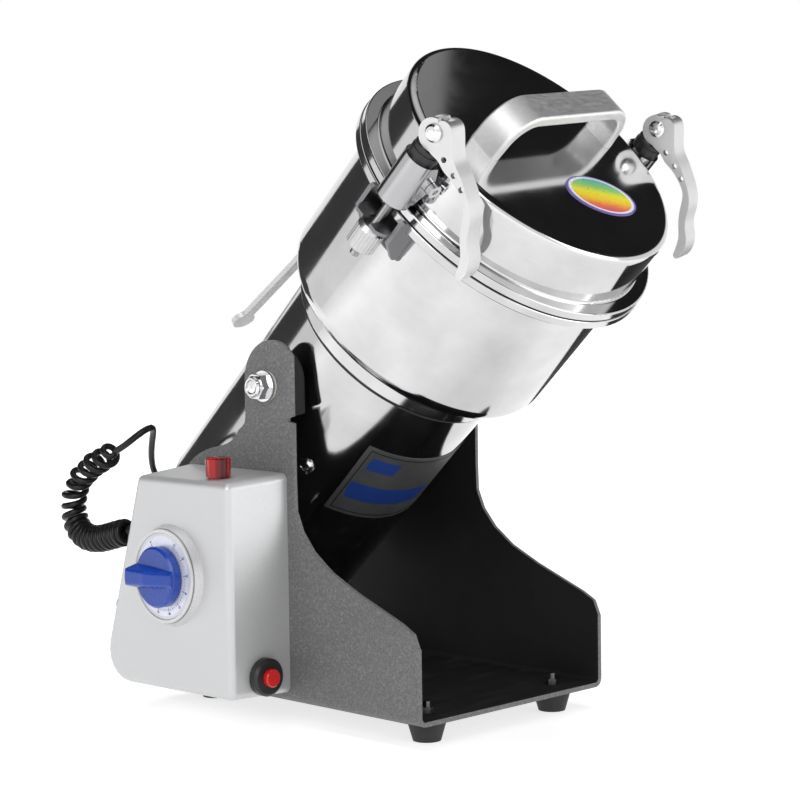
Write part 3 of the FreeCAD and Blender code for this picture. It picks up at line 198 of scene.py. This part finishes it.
def calc(nt, op, a, b=None, c=None, clamp=False):
    n = nt.nodes.new("ShaderNodeMath")
    n.operation = op
    n.use_clamp = clamp
    for sock, v in zip(n.inputs, (a, b, c)):
        if v is None:
            continue
        if hasattr(v, "is_output"):
            nt.links.new(v, sock)
        else:
            sock.default_value = v
    return n.outputs[0]


def mapped(nt, v, a0, a1, b0=0.0, b1=1.0, smooth=False):
    n = nt.nodes.new("ShaderNodeMapRange")
    n.interpolation_type = "SMOOTHSTEP" if smooth else "LINEAR"
    for k, q in (("From Min", a0), ("From Max", a1), ("To Min", b0), ("To Max", b1)):
        n.inputs[k].default_value = q
    nt.links.new(v, n.inputs["Value"])
    return n.outputs["Result"]


def mix(nt, fac, a, b, kind="MIX"):
    n = nt.nodes.new("ShaderNodeMixRGB")
    n.blend_type = kind
    for sock, v in zip(n.inputs, (fac, a, b)):
        if hasattr(v, "is_output"):
            nt.links.new(v, sock)
        elif hasattr(v, "__len__"):
            sock.default_value = (v[0], v[1], v[2], 1.0)
        else:
            sock.default_value = v if sock.type == "VALUE" else (v, v, v, 1.0)
    return n.outputs["Color"]


def frame_xyz(nt, matrix):
    """Object coordinates read in another frame, in millimetres."""
    inv = matrix.inverted()
    mp_ = nt.nodes.new("ShaderNodeMapping")
    mp_.inputs["Location"].default_value = inv.to_translation() * 1000.0
    mp_.inputs["Rotation"].default_value = inv.to_euler()
    mp_.inputs["Scale"].default_value = (1000.0, 1000.0, 1000.0)
    nt.links.new(coords(nt), mp_.inputs["Vector"])
    s = nt.nodes.new("ShaderNodeSeparateXYZ")
    nt.links.new(mp_.outputs["Vector"], s.inputs[0])
    return s.outputs[0], s.outputs[1], s.outputs[2], mp_.outputs["Vector"]


def bump(nt, bsdf, height, strength, distance):
    b = nt.nodes.new("ShaderNodeBump")
    b.inputs["Strength"].default_value = strength
    b.inputs["Distance"].default_value = distance
    nt.links.new(height, b.inputs["Height"])
    nt.links.new(b.outputs["Normal"], bsdf.inputs["Normal"])
    return b


def steel(name, base, rough, spread=0.03, scale=60.0, stretch=(1, 1, 1), bump_by=0.0, bump_scale=400.0, dark=None):
    """Bare metal whose roughness and tone wander a little."""
    m, nt, b = new_mat(name)
    b.inputs["Metallic"].default_value = 1.0
    f = noise(nt, scale, 4.0, 0.55, stretch=stretch)
    lo = dark if dark is not None else tuple(c * 0.93 for c in base)
    nt.links.new(ramp(nt, f, [(0.3, lo), (0.7, base)]), b.inputs["Base Color"])
    nt.links.new(mapped(nt, noise(nt, scale * 2.3, 3.0, 0.5, stretch=stretch), 0.3, 0.7,
                        max(rough - spread, 0.01), rough + spread), b.inputs["Roughness"])
    if bump_by:
        bump(nt, b, noise(nt, bump_scale, 2.0, 0.5, stretch=stretch), bump_by, 0.0001)
    return m


def plastic(name, base, rough, spread=0.05, grain=900.0, grain_by=0.06, coat=0.0):
    m, nt, b = new_mat(name)
    f = noise(nt, 45.0, 3.0)
    nt.links.new(ramp(nt, f, [(0.3, tuple(c * 0.9 for c in base)), (0.7, base)]), b.inputs["Base Color"])
    nt.links.new(mapped(nt, noise(nt, 160.0), 0.3, 0.7, max(rough - spread, 0.02), rough + spread), b.inputs["Roughness"])
    b.inputs["Coat Weight"].default_value = coat
    b.inputs["Coat Roughness"].default_value = 0.12
    if grain_by:
        bump(nt, b, noise(nt, grain, 2.0), grain_by, 0.0002)
    return m


def polished(name, base, rough, spread, streak):
    """Spun and polished steel: an even mirror finish with faint turning lines round
    the axis, wiped patches and small dull marks."""
    m, nt, b = new_mat(name)
    b.inputs["Metallic"].default_value = 1.0
    x, l, s, v = frame_xyz(nt, MILL)
    lines = nt.nodes.new("ShaderNodeTexNoise")
    lines.inputs["Scale"].default_value = 1.0
    lines.inputs["Detail"].default_value = 3.0
    sc = nt.nodes.new("ShaderNodeMapping")
    sc.inputs["Scale"].default_value = (0.01, 0.01, 1.6)
    nt.links.new(v, sc.inputs["Vector"])
    nt.links.new(sc.outputs["Vector"], lines.inputs["Vector"])
    patch = noise(nt, 0.030, 3.0, 0.55, vec=v)
    marks = noise(nt, 0.35, 4.0, 0.65, vec=v)
    c1 = ramp(nt, patch, [(0.32, tuple(c * 0.84 for c in base)), (0.68, base)])
    c2 = ramp(nt, lines.outputs["Fac"], [(0.30, 1.0 - streak), (0.62, 1.0)])
    nt.links.new(mix(nt, 1.0, c1, c2, "MULTIPLY"), b.inputs["Base Color"])
    r1 = mapped(nt, patch, 0.3, 0.7, max(rough - spread, 0.02), rough + spread)
    r2 = mapped(nt, marks, 0.62, 0.78, 0.0, 0.10)
    nt.links.new(calc(nt, "ADD", r1, r2), b.inputs["Roughness"])
    bump(nt, b, lines.outputs["Fac"], 0.02, 0.00002)
    return m


MIRROR = polished("polished_steel", (0.66, 0.66, 0.665), 0.095, 0.025, 0.018)
TUBE = polished("polished_tube", (0.60, 0.60, 0.605), 0.10, 0.025, 0.03)
BARREL = steel("turned_barrel", (0.46, 0.46, 0.47), 0.16, 0.04, 60.0)
SATIN = steel("satin_steel", (0.60, 0.60, 0.60), 0.34, 0.05, 300.0)
GRIP = steel("brushed_handle", (0.80, 0.80, 0.80), 0.52, 0.06, 240.0, stretch=(0.3, 2.0, 2.0))
FORK = steel("plated_fork", (0.24, 0.24, 0.25), 0.34, 0.03, 80.0)
LUG = steel("cast_lug", (0.34, 0.34, 0.35), 0.38, 0.03, 80.0)
CAST = steel("cast_lever", (0.68, 0.68, 0.68), 0.48, 0.03, 60.0)
BRIGHT = steel("bright_plate", (0.78, 0.78, 0.79), 0.16, 0.05, 200.0)
STUD = steel("oiled_stud", (0.16, 0.16, 0.165), 0.30, 0.06, 300.0)
BLACK = plastic("black_plastic", (0.012, 0.012, 0.013), 0.38)
RUBBER = plastic("black_rubber", (0.014, 0.014, 0.014), 0.62, grain=600.0, grain_by=0.15)
CORD = plastic("cord_black", (0.006, 0.006, 0.0065), 0.30, grain=700.0, grain_by=0.03)
CORD.node_tree.nodes["Principled BSDF"].inputs["Specular IOR Level"].default_value = 0.28
BLUE = plastic("knob_blue", (0.006, 0.045, 0.32), 0.28, grain=1600.0, grain_by=0.02, coat=0.1)
BLUE_INK = plastic("dial_ink", (0.02, 0.04, 0.16), 0.4, grain_by=0.0)
LABEL_BLUE = plastic("label_blue", (0.010, 0.032, 0.16), 0.35, grain_by=0.0)
LABEL_INK = plastic("label_line", (0.0015, 0.0015, 0.002), 0.5, grain_by=0.0)
LABEL_INK.node_tree.nodes["Principled BSDF"].inputs["Specular IOR Level"].default_value = 0.12
RED = plastic("button_red", (0.55, 0.012, 0.010), 0.25, grain_by=0.02, coat=0.3)
NYLON = plastic("nylon_natural", (0.62, 0.60, 0.55), 0.4)
COPPER = steel("copper_wire", (0.75, 0.36, 0.20), 0.30, 0.08, 200.0)
IRON = steel("lamination_steel", (0.20, 0.20, 0.21), 0.45, 0.08, 200.0)


def threaded():
    m, nt, b = new_mat("rod_thread")
    b.inputs["Metallic"].default_value = 1.0
    x, l, s, v = frame_xyz(nt, MILL)
    w = calc(nt, "SINE", calc(nt, "MULTIPLY", s, 2 * math.pi / 0.8))
    on = mapped(nt, s, 150.0, 154.0, 1.0, 0.0)
    # painted shade on the thread: the colour turns dark and light with each turn of its relief, up to about 150 mm
    # along the axis
    nt.links.new(mix(nt, calc(nt, "MULTIPLY", mapped(nt, w, -1.0, 1.0), on), 0.62, 0.22), b.inputs["Base Color"])
    nt.links.new(mapped(nt, noise(nt, 200.0), 0.3, 0.7, 0.18, 0.28), b.inputs["Roughness"])
    bump(nt, b, calc(nt, "MULTIPLY", w, on), 0.5, 0.0003)
    return m


ROD = threaded()


def hammered():
    """Grey hammer-finish paint outside; the channel between the arms, which lies in shade, is painted near black:
    painted shade.
    """
    m, nt, b = new_mat("hammered_paint")
    co = coords(nt)
    vor = nt.nodes.new("ShaderNodeTexVoronoi")
    vor.feature = "SMOOTH_F1"
    vor.inputs["Scale"].default_value = 900.0
    nt.links.new(co, vor.inputs["Vector"])
    fine = noise(nt, 1500.0, 3.0, 0.6, vec=co)
    hgt = calc(nt, "MULTIPLY_ADD", vor.outputs["Distance"], 0.5, fine)
    grey = ramp(nt, hgt, [(0.42, 0.085), (0.72, 0.135), (0.95, 0.20)])
    tone = mix(nt, 0.5, grey, ramp(nt, noise(nt, 9.0, 2.0, vec=co), [(0.3, 0.7), (0.7, 1.0)]), "MULTIPLY")
    # the inner faces of the arms lie within 70.6 mm of the middle plane; they and the plate between them get painted
    # shade
    x, y, z, v = frame_xyz(nt, BASE)
    inside = calc(nt, "LESS_THAN", calc(nt, "ABSOLUTE", x), 70.8)
    channel_shade_mask = calc(nt, "MULTIPLY", inside, calc(nt, "GREATER_THAN", z, 0.4))
    # the plate's cut front edge, at y -109, is as pale as the outside
    channel_shade_mask = calc(nt, "MULTIPLY", channel_shade_mask, calc(nt, "GREATER_THAN", y, -108.7))
    # painted shade, near black: faint scuffs across the plate, and broad lighter and darker patches on the arms
    plate_shade_and_scuffs = ramp(nt, noise(nt, 1.0, 4.0, 0.6, vec=v, stretch=(0.022, 0.16, 0.05)),
                 [(0.36, 0.002), (0.55, 0.006), (0.70, 0.022)])
    arm_shade_patches = ramp(nt, noise(nt, 0.018, 2.0, 0.5, vec=v), [(0.35, 0.0008), (0.70, 0.006)])
    dark = mix(nt, calc(nt, "LESS_THAN", z, 3.0), arm_shade_patches, plate_shade_and_scuffs)
    # painted shade over the channel, the hammered grey everywhere else
    nt.links.new(mix(nt, channel_shade_mask, tone, dark), b.inputs["Base Color"])
    nt.links.new(mapped(nt, channel_shade_mask, 0.0, 1.0, 0.48, 0.75), b.inputs["Roughness"])
    b.inputs["Specular IOR Level"].default_value = 0.35
    bump(nt, b, hgt, 0.30, 0.00025)
    return m


HAMMER = hammered()


def silver_paint():
    m, nt, b = new_mat("silver_box_paint")
    co = coords(nt)
    fine = noise(nt, 2200.0, 3.0, 0.6, vec=co)
    broad = noise(nt, 18.0, 3.0, 0.5, vec=co)
    c1 = ramp(nt, fine, [(0.3, (0.54, 0.544, 0.55)), (0.7, (0.61, 0.614, 0.62))])
    nt.links.new(mix(nt, 0.6, c1, ramp(nt, broad, [(0.3, 0.93), (0.7, 1.0)]), "MULTIPLY"), b.inputs["Base Color"])
    nt.links.new(mapped(nt, broad, 0.3, 0.7, 0.36, 0.46), b.inputs["Roughness"])
    b.inputs["Metallic"].default_value = 0.55
    bump(nt, b, fine, 0.05, 0.0001)
    return m


SILVER = silver_paint()


def dial_face():
    """Silver ring with a paler printed annulus inside it and a fine dark line between."""
    m, nt, b = new_mat("dial_face")
    x, y, z, v = frame_xyz(nt, Matrix.Translation(bp(-115.0, 37.8, 70.1)))
    r = calc(nt, "SQRT", calc(nt, "ADD", calc(nt, "MULTIPLY", y, y), calc(nt, "MULTIPLY", z, z)))
    grain = noise(nt, 3200.0, 3.0, 0.6)
    ring = ramp(nt, grain, [(0.3, (0.56, 0.56, 0.57)), (0.7, (0.62, 0.62, 0.63))])
    face = ramp(nt, noise(nt, 60.0), [(0.3, (0.66, 0.67, 0.77)), (0.7, (0.72, 0.73, 0.82))])
    col = mix(nt, mapped(nt, r, 21.9, 22.1), face, ring)
    line = calc(nt, "MULTIPLY", mapped(nt, r, 25.7, 25.85), mapped(nt, r, 26.0, 26.15, 1.0, 0.0))
    nt.links.new(mix(nt, line, col, (0.16, 0.16, 0.17)), b.inputs["Base Color"])
    nt.links.new(mapped(nt, grain, 0.3, 0.7, 0.24, 0.34), b.inputs["Roughness"])
    b.inputs["Metallic"].default_value = 0.25
    bump(nt, b, mapped(nt, r, 21.85, 22.15), 0.4, 0.0003)
    return m


WHITE = dial_face()


def lens_red():
    """Moulded red lens with upright flutes; its red is painted lighter and darker flute by flute and in broad bands
    round it, as painted highlights and painted shade.
    """
    m, nt, b = new_mat("lamp_red")
    x, y, z, v = frame_xyz(nt, Matrix.Translation(bp(-102.5, 11.0, 123.0)))
    ang = calc(nt, "ARCTAN2", x, y)
    w = calc(nt, "SINE", calc(nt, "MULTIPLY", ang, 14.0))
    painted_light_bands = calc(nt, "SINE", calc(nt, "MULTIPLY_ADD", ang, 3.0, 0.7))
    # painted highlights and painted shade: the red follows each flute and three broad bands round the lens
    tone = mapped(nt, calc(nt, "MULTIPLY_ADD", w, 0.22, painted_light_bands), -1.4, 1.5)
    nt.links.new(ramp(nt, tone, [(0.0, (0.030, 0.0, 0.001)), (0.40, (0.16, 0.001, 0.003)), (1.0, (0.46, 0.008, 0.010))]),
                 b.inputs["Base Color"])
    nt.links.new(mapped(nt, noise(nt, 300.0), 0.3, 0.7, 0.10, 0.16), b.inputs["Roughness"])
    b.inputs["Specular IOR Level"].default_value = 0.30
    b.inputs["Coat Weight"].default_value = 0.12
    b.inputs["Coat Roughness"].default_value = 0.05
    bump(nt, b, w, 0.35, 0.0006)
    return m


LENS = lens_red()


def badge_foil():
    """Rainbow foil oval: green over yellow to red, white margin and violet rim."""
    m, nt, b = new_mat("badge_foil")
    at = MILL @ Matrix.Translation(Vector(BADGE_AT + (182.4,)) / 1000.0) @ Matrix.Rotation(math.radians(BADGE_TURN), 4, "Z")
    x, y, z, v = frame_xyz(nt, at)
    r = calc(nt, "SQRT", calc(nt, "ADD", calc(nt, "POWER", calc(nt, "MULTIPLY", x, 1 / 23.6), 2.0),
                              calc(nt, "POWER", calc(nt, "MULTIPLY", y, 1 / 13.7), 2.0)))
    t = calc(nt, "ADD", mapped(nt, y, 13.0, -13.0), calc(nt, "MULTIPLY_ADD", noise(nt, 0.35, 2.0, vec=v), 0.12, -0.06))
    body = ramp(nt, t, [(0.08, (0.10, 0.50, 0.42)), (0.28, (0.30, 0.62, 0.16)), (0.45, (0.85, 0.78, 0.05)),
                        (0.62, (0.90, 0.62, 0.04)), (0.80, (0.80, 0.20, 0.08)), (0.95, (0.70, 0.08, 0.14))])
    dots = nt.nodes.new("ShaderNodeTexVoronoi")
    dots.inputs["Scale"].default_value = 1.1
    nt.links.new(v, dots.inputs["Vector"])
    body = mix(nt, 0.25, body, ramp(nt, dots.outputs["Distance"], [(0.0, 0.45), (0.6, 1.0)]), "MULTIPLY")
    col = mix(nt, mapped(nt, r, 0.845, 0.865), body, (0.80, 0.80, 0.84))
    col = mix(nt, mapped(nt, r, 0.925, 0.955), col, (0.16, 0.12, 0.42))
    nt.links.new(col, b.inputs["Base Color"])
    b.inputs["Metallic"].default_value = 0.15
    nt.links.new(mapped(nt, noise(nt, 300.0), 0.3, 0.7, 0.25, 0.38), b.inputs["Roughness"])
    return m



FOIL = badge_foil()


def label_foil():
    m, nt, b = new_mat("label_grey")
    x, l, s, v = frame_xyz(nt, MILL)
    f = noise(nt, 60.0, 3.0)
    nt.links.new(ramp(nt, f, [(0.3, (0.048, 0.049, 0.051)), (0.7, (0.070, 0.071, 0.073))]), b.inputs["Base Color"])
    nt.links.new(mapped(nt, noise(nt, 200.0), 0.3, 0.7, 0.40, 0.50), b.inputs["Roughness"])
    b.inputs["Metallic"].default_value = 0.3
    return m


LABEL = label_foil()

PLAIN = {
    "base_bracket": HAMMER, "rubber_feet": RUBBER, "foot_bolts": STUD, "pivot_bushes": NYLON,
    "control_box_shell": SILVER, "box_screws": BRIGHT, "dial_plate": WHITE, "timer_body": BLACK,
    "timer_shaft": BRIGHT, "timer_knob": BLUE, "lamp_lens": LENS, "breaker_body": BLACK, "reset_button": RED,
    "box_glands": BLACK, "motor_housing": TUBE, "housing_screws": BRIGHT, "motor_mount_ring": SATIN,
    "bottom_cap": SATIN, "motor_cord_gland": BLACK, "pivot_studs": BRIGHT, "pivot_spacers": SATIN,
    "pivot_nuts": BRIGHT, "stator_core": IRON, "field_coils": COPPER, "motor_brackets": SATIN,
    "motor_bearings": BRIGHT, "brush_holders": BLACK, "motor_shaft": BRIGHT, "armature_core": IRON,
    "commutator": COPPER, "cooling_fan": BLACK, "blades": SATIN, "blade_fasteners": BRIGHT,
    "chamber_shell": MIRROR, "shaft_seal": RUBBER, "housing_collar": MIRROR, "collar_gasket": RUBBER,
    "lid_shell": MIRROR, "lid_seal": RUBBER, "lid_handle": GRIP, "lid_badge": FOIL, "rating_label": LABEL,
    "tilt_lever": CAST, "lid_lugs": LUG, "lug_screws": BRIGHT, "chamber_hooks": FORK,
    "curly_cord_coil": CORD, "curly_cord_lead": CORD,
}
for side in ("left", "right"):
    PLAIN.update({side + "_clamp_barrel": BARREL, side + "_cam_washers": BLACK, side + "_lever": CAST,
                  side + "_cam_pin": BRIGHT, side + "_rod": ROD, side + "_knurled_nut": SATIN})
for node_name, mat in PLAIN.items():
    ob = NODES[node_name]
    ob.data.materials.clear()
    ob.data.materials.append(mat)

# ------------------------------------------------------------------ curly cord
ROUTE_COIL = [(-95, 93.0, 87.3), (-95, 104.5, 86.6), (-95, 116.5, 83.4), (-95, 128.5, 80.6),
              (-95, 139.5, 80.3), (-95, 148.6, 84.2), (-95, 153.2, 93.0), (-95, 152.8, 103.4),
              (-95, 148.0, 112.6), (-95, 139.6, 119.6), (-95, 129.4, 125.2), (-95, 118.6, 129.9),
              (-95.0, 108.0, 134.0)]
ROUTE_LEAD = [(-94.7, 100.2, 137.8), (-92.6, 94.4, 142.2), (-88.0, 91.6, 145.8), (-82.0, 93.0, 146.8),
              (-76.8, 99.2, 143.0), (-71.6, 107.6, 135.8), (-66.0, 115.6, 126.8), (-60.0, 121.4, 118.0),
              (-53.0, 123.4, 110.0), (-45.2, 120.6, 103.8), (-37.3, 114.5, 100.0)]


def nurbs_points(points, res=24):
    cu = bpy.data.curves.new("route", "CURVE")
    cu.dimensions = "3D"
    cu.resolution_u = res
    sp = cu.splines.new("NURBS")
    sp.points.add(len(points) - 1)
    for p, q in zip(sp.points, points):
        p.co = (q[0], q[1], q[2], 1.0)
    sp.order_u = 3
    sp.use_endpoint_u = True
    ob = bpy.data.objects.new("route", cu)
    link(ob)
    bpy.context.view_layer.update()
    me = bpy.data.meshes.new_from_object(ob)
    pts = [v.co.copy() for v in me.vertices]
    bpy.data.meshes.remove(me)
    bpy.data.objects.remove(ob)
    return pts


def resample(pts, step):
    out = [pts[0].copy()]
    carry = 0.0
    for a, b in zip(pts, pts[1:]):
        seg = (b - a).length
        pos = step - carry
        while pos <= seg:
            out.append(a.lerp(b, pos / seg))
            pos += step
        carry = (carry + seg) % step if seg else carry
    out.append(pts[-1].copy())
    return out


def curly_cord():
    route = nurbs_points([bp(*p) for p in ROUTE_COIL + ROUTE_LEAD])
    fine = resample(route, 0.0002)
    total = len(fine)
    dist = [0.0]
    for a, b in zip(fine, fine[1:]):
        dist.append(dist[-1] + (b - a).length)
    coil_from, coil_to = 0.004, 0.129
    strand = 0.0019
    tang = []
    for i in range(total):
        t = fine[min(i + 1, total - 1)] - fine[max(i - 1, 0)]
        tang.append(t.normalized())
    side = Vector((1, 0, 0))
    pts = []
    phase = 0.0
    last_d = 0.0
    for i in range(total):
        t = tang[i]
        side = (side - t * side.dot(t)).normalized()
        other = t.cross(side)
        d = dist[i]
        # close wound at the box, drawn out towards the straight end
        u = min(max((d - 0.045) / 0.05, 0.0), 1.0)
        u = u * u * (3 - 2 * u)
        pitch = 0.0042 + 0.0034 * u
        big = 0.00625 - 0.0007 * u + 0.00035 * math.sin(d * 420.0) * u
        lean = 0.0016 * u
        w = min(max((d - coil_from) / 0.007, 0.0), 1.0) * min(max((coil_to - d) / 0.008, 0.0), 1.0)
        w = w * w * (3 - 2 * w)
        if coil_from < d < coil_to:
            phase += (d - last_d) / pitch * 2 * math.pi
        last_d = d
        pts.append(fine[i] + (side * math.cos(phase) + other * math.sin(phase)) * big * w
                   + t * math.cos(phase + 0.6) * lean * w)
    keep = [pts[0]]
    for i, p in enumerate(pts):
        gap = 0.0009 if coil_from - 0.001 < dist[i] < coil_to + 0.002 else 0.0022
        if (p - keep[-1]).length >= gap and dist[-1] - dist[i] > 0.0012:
            keep.append(p)
    keep.append(pts[-1])
    length = sum((b - a).length for a, b in zip(keep, keep[1:]))
    ob = tube_mesh("curly_cord", keep, strand, CORD, sides=8)
    return ob, keep, length


cord_ob, cord_pts, cord_len = curly_cord()
print("curly cord: strand length %.3f m, %d points" % (cord_len, len(cord_pts)))
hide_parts("curly_cord_coil", "curly_cord_lead")
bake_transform(cord_ob)

# ------------------------------------------------------------------ dial scale
# the timer's frame: x up, y to the rear, z out of the box
TIMER = BASE @ Matrix.Translation(Vector((-115.0, 37.8, 70.1)) / 1000.0) @ Matrix.Rotation(math.radians(-90), 4, "Y")


def dial_ticks():
    verts, faces = [], []
    for k in range(56):
        a = math.radians(30 + 300.0 * k / 55.0)
        long_ = k % 5 == 0
        r0, r1, hw_ = (17.6, 19.4, 0.16) if long_ else (18.0, 19.0, 0.09)
        ca, sa = math.cos(a), math.sin(a)
        base_i = len(verts)
        for z in (5.25, 5.42):
            for r, w in ((r0, -hw_), (r1, -hw_), (r1, hw_), (r0, hw_)):
                verts.append(TIMER @ (Vector((r * ca - w * sa, r * sa + w * ca, z)) / 1000.0))
        q = base_i
        faces += [(q + 4, q + 5, q + 6, q + 7), (q + 3, q + 2, q + 1, q), (q, q + 1, q + 5, q + 4),
                  (q + 1, q + 2, q + 6, q + 5), (q + 2, q + 3, q + 7, q + 6), (q + 3, q, q + 4, q + 7)]
    ob = mesh_object("dial_ticks", verts, faces, BLUE_INK, smooth=False)
    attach(ob, "base")


def dial_numbers():
    for k in range(12):
        a = math.radians(30 + 300.0 * (k * 5) / 55.0)
        cu = bpy.data.curves.new("num", "FONT")
        cu.body = str(k * 5)
        cu.size = 0.0019
        cu.extrude = 0.00006
        cu.align_x = "CENTER"
        cu.align_y = "CENTER"
        tmp = link(bpy.data.objects.new("num", cu))
        bpy.context.view_layer.update()
        me = bpy.data.meshes.new_from_object(tmp)
        bpy.data.objects.remove(tmp)
        # upright numbers: text x runs to the viewer's right, which is towards the front
        m = TIMER @ Matrix.Translation(Vector((20.6 * math.cos(a), 20.6 * math.sin(a), 5.36)) / 1000.0) \
            @ Matrix(((0, 1, 0, 0), (-1, 0, 0, 0), (0, 0, 1, 0), (0, 0, 0, 1)))
        me.transform(m)
        me.materials.clear()
        me.materials.append(BLUE_INK)
        ob = link(bpy.data.objects.new("dial_number_%02d" % (k * 5), me))
        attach(ob, "base")


dial_ticks()
dial_numbers()


# ------------------------------------------------------------------ label print
def cyl_patch(name, poly_rows, r0, r1, mat):
    """A thin patch on the tube: rows of (angle, angle, height) from the top down."""
    verts, faces = [], []
    n = 24
    for a0, a1, s in poly_rows:
        for k in range(n + 1):
            a = math.radians(a0 + (a1 - a0) * k / n)
            for r in (r0, r1):
                verts.append(mp(r * math.sin(a), -r * math.cos(a), s))
    row = 2 * (n + 1)
    rows = len(poly_rows)
    for i in range(rows - 1):
        for k in range(n):
            p, q = i * row + 2 * k, (i + 1) * row + 2 * k
            faces.append((p + 1, q + 1, q + 3, p + 3))
            faces.append((p, p + 2, q + 2, q))
        faces.append((i * row, (i + 1) * row, (i + 1) * row + 1, i * row + 1))
        e = i * row + 2 * n
        faces.append((e, e + 1, e + 1 + row, e + row))
    for i in (0, rows - 1):
        for k in range(n):
            p = i * row + 2 * k
            faces.append((p, p + 1, p + 3, p + 2) if i == 0 else (p, p + 2, p + 3, p + 1))
    ob = mesh_object(name, verts, faces, mat)
    bm = bmesh.new()
    bm.from_mesh(ob.data)
    bmesh.ops.recalc_face_normals(bm, faces=bm.faces)
    bm.to_mesh(ob.data)
    bm.free()
    sharpen(ob, 40.0)
    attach(ob, "mill")
    return ob


RL = 63.28
cyl_patch("label_block_upper", [(-31, -15, 0.6), (-31.5, -15, -3.0), (-31.5, -16, -8.2)], RL, RL + 0.12, LABEL_BLUE)
cyl_patch("label_block_lower", [(-33, 17, -19.5), (-33.5, 17, -24.0), (-32, 15, -31.5)], RL, RL + 0.12, LABEL_BLUE)
cyl_patch("label_line_top", [(-34.6, 34.6, 5.2), (-34.6, 34.6, 4.75)], RL, RL + 0.14, LABEL_INK)
cyl_patch("label_line_bottom", [(-34.6, 34.6, -41.2), (-34.6, 34.6, -41.65)], RL, RL + 0.14, LABEL_INK)
cyl_patch("label_line_left", [(-34.6, -34.2, 5.2), (-34.6, -34.2, -41.65)], RL, RL + 0.13, LABEL_INK)
cyl_patch("label_line_right", [(34.2, 34.6, 5.2), (34.2, 34.6, -41.65)], RL, RL + 0.13, LABEL_INK)

# ------------------------------------------------------------------ floor, light
floor_mat, fnt, fb = new_mat("floor_white")
fb.inputs["Base Color"].default_value = (0.55, 0.55, 0.55, 1)
fb.inputs["Roughness"].default_value = 0.9
fb.inputs["Specular IOR Level"].default_value = 0.0
fb.inputs["Emission Color"].default_value = (1, 1, 1, 1)
# the floor glows: painted light, dimmer (0.70) within 0.35 m of the middle and full (1.0) beyond 1.3 m, so it is
# darker round the object
dist_ = fnt.nodes.new("ShaderNodeVectorMath")
dist_.operation = "LENGTH"
fnt.links.new(coords(fnt), dist_.inputs[0])
floor_glow_by_distance = mapped(fnt, dist_.outputs["Value"], 0.35, 1.3, 0.70, 1.0, smooth=True)
fnt.links.new(floor_glow_by_distance, fb.inputs["Emission Strength"])
bpy.ops.mesh.primitive_plane_add(size=14.0, location=(0, 0, 0))
floor = bpy.context.object
floor.name = "floor"
floor.data.materials.append(floor_mat)


def area(name, loc, target, size, power, color=(1, 1, 1), size_y=None):
    li = bpy.data.lights.new(name, "AREA")
    li.energy = power
    li.color = color
    li.size = size
    if size_y:
        li.shape = "RECTANGLE"
        li.size_y = size_y
    ob = link(bpy.data.objects.new(name, li))
    ob.location = loc
    d = Vector(target) - Vector(loc)
    ob.rotation_euler = d.to_track_quat("-Z", "Y").to_euler()
    return ob


area("key_left", (-1.9, -1.1, 1.5), (0, 0, 0.15), 1.6, 26.0)
area("front_right", (1.0, -2.0, 0.6), (0, 0, 0.15), 1.4, 12.0)
area("overhead", (0.05, 0.25, 2.1), (0, 0, 0.2), 1.2, 22.0).visible_glossy = False
area("rim_right", (1.9, 0.8, 0.9), (0, 0, 0.2), 0.8, 5.0).visible_glossy = False


def card(name, quad, strength):
    """A reflector card outside the picture, seen only in polished metal."""
    m, nt, b = new_mat(name)
    b.inputs["Base Color"].default_value = (0, 0, 0, 1)
    b.inputs["Emission Color"].default_value = (1, 1, 1, 1)
    b.inputs["Emission Strength"].default_value = strength
    ob = mesh_object(name, quad, [(0, 1, 2, 3)], m, smooth=False)
    ob.visible_camera = False
    ob.visible_diffuse = False
    ob.visible_shadow = False
    return ob


# the lid's flat top sees its rear left part lit by a grey card
inv_mill = MILL.inverted()
eye_mill = inv_mill @ eye * 1000.0
mirror_eye = Vector((eye_mill.x, eye_mill.y, 2 * 182.4 - eye_mill.z))


def seen_in_lid(x, l, far):
    p = Vector((x, l, 182.4))
    d = (p - mirror_eye).normalized()
    q = p + d * far
    return mp(q.x, q.y, q.z)


card("card_lid", [seen_in_lid(10, 107, 700), seen_in_lid(-87, -13, 700), seen_in_lid(-134, 25, 700),
                  seen_in_lid(-37, 145, 700)], 0.24)

# dark flags beyond the right and behind the left, seen only in the metal
card("flag_right", [Vector((0.36, -0.12, 0.004)), Vector((1.9, -0.45, 0.004)), Vector((2.4, 2.3, 0.004)),
                    Vector((0.66, 0.33, 0.004))], 0.0)
card("flag_rear", [Vector((-0.66, 1.6, 0.05)), Vector((0.55, 1.75, 0.05)), Vector((0.55, 1.75, 1.6)),
                   Vector((-0.66, 1.6, 1.6))], 0.015)

world = bpy.data.worlds.new("studio")
bpy.context.scene.world = world
world.use_nodes = True
wnt = world.node_tree
bg = wnt.nodes["Background"]
tc = wnt.nodes.new("ShaderNodeTexCoord")
sp_ = wnt.nodes.new("ShaderNodeSeparateXYZ")
wnt.links.new(tc.outputs["Generated"], sp_.inputs[0])
wr = ramp(wnt, sp_.outputs["Z"], [(0.0, 1.0), (0.34, 1.0), (0.46, 0.02), (0.82, 0.012), (0.90, 0.5), (1.0, 0.8)])
wnt.links.new(wr, bg.inputs["Color"])
bg.inputs["Strength"].default_value = 1.0

bpy.context.scene.view_settings.view_transform = "Standard"
bpy.context.scene.view_settings.look = "None"
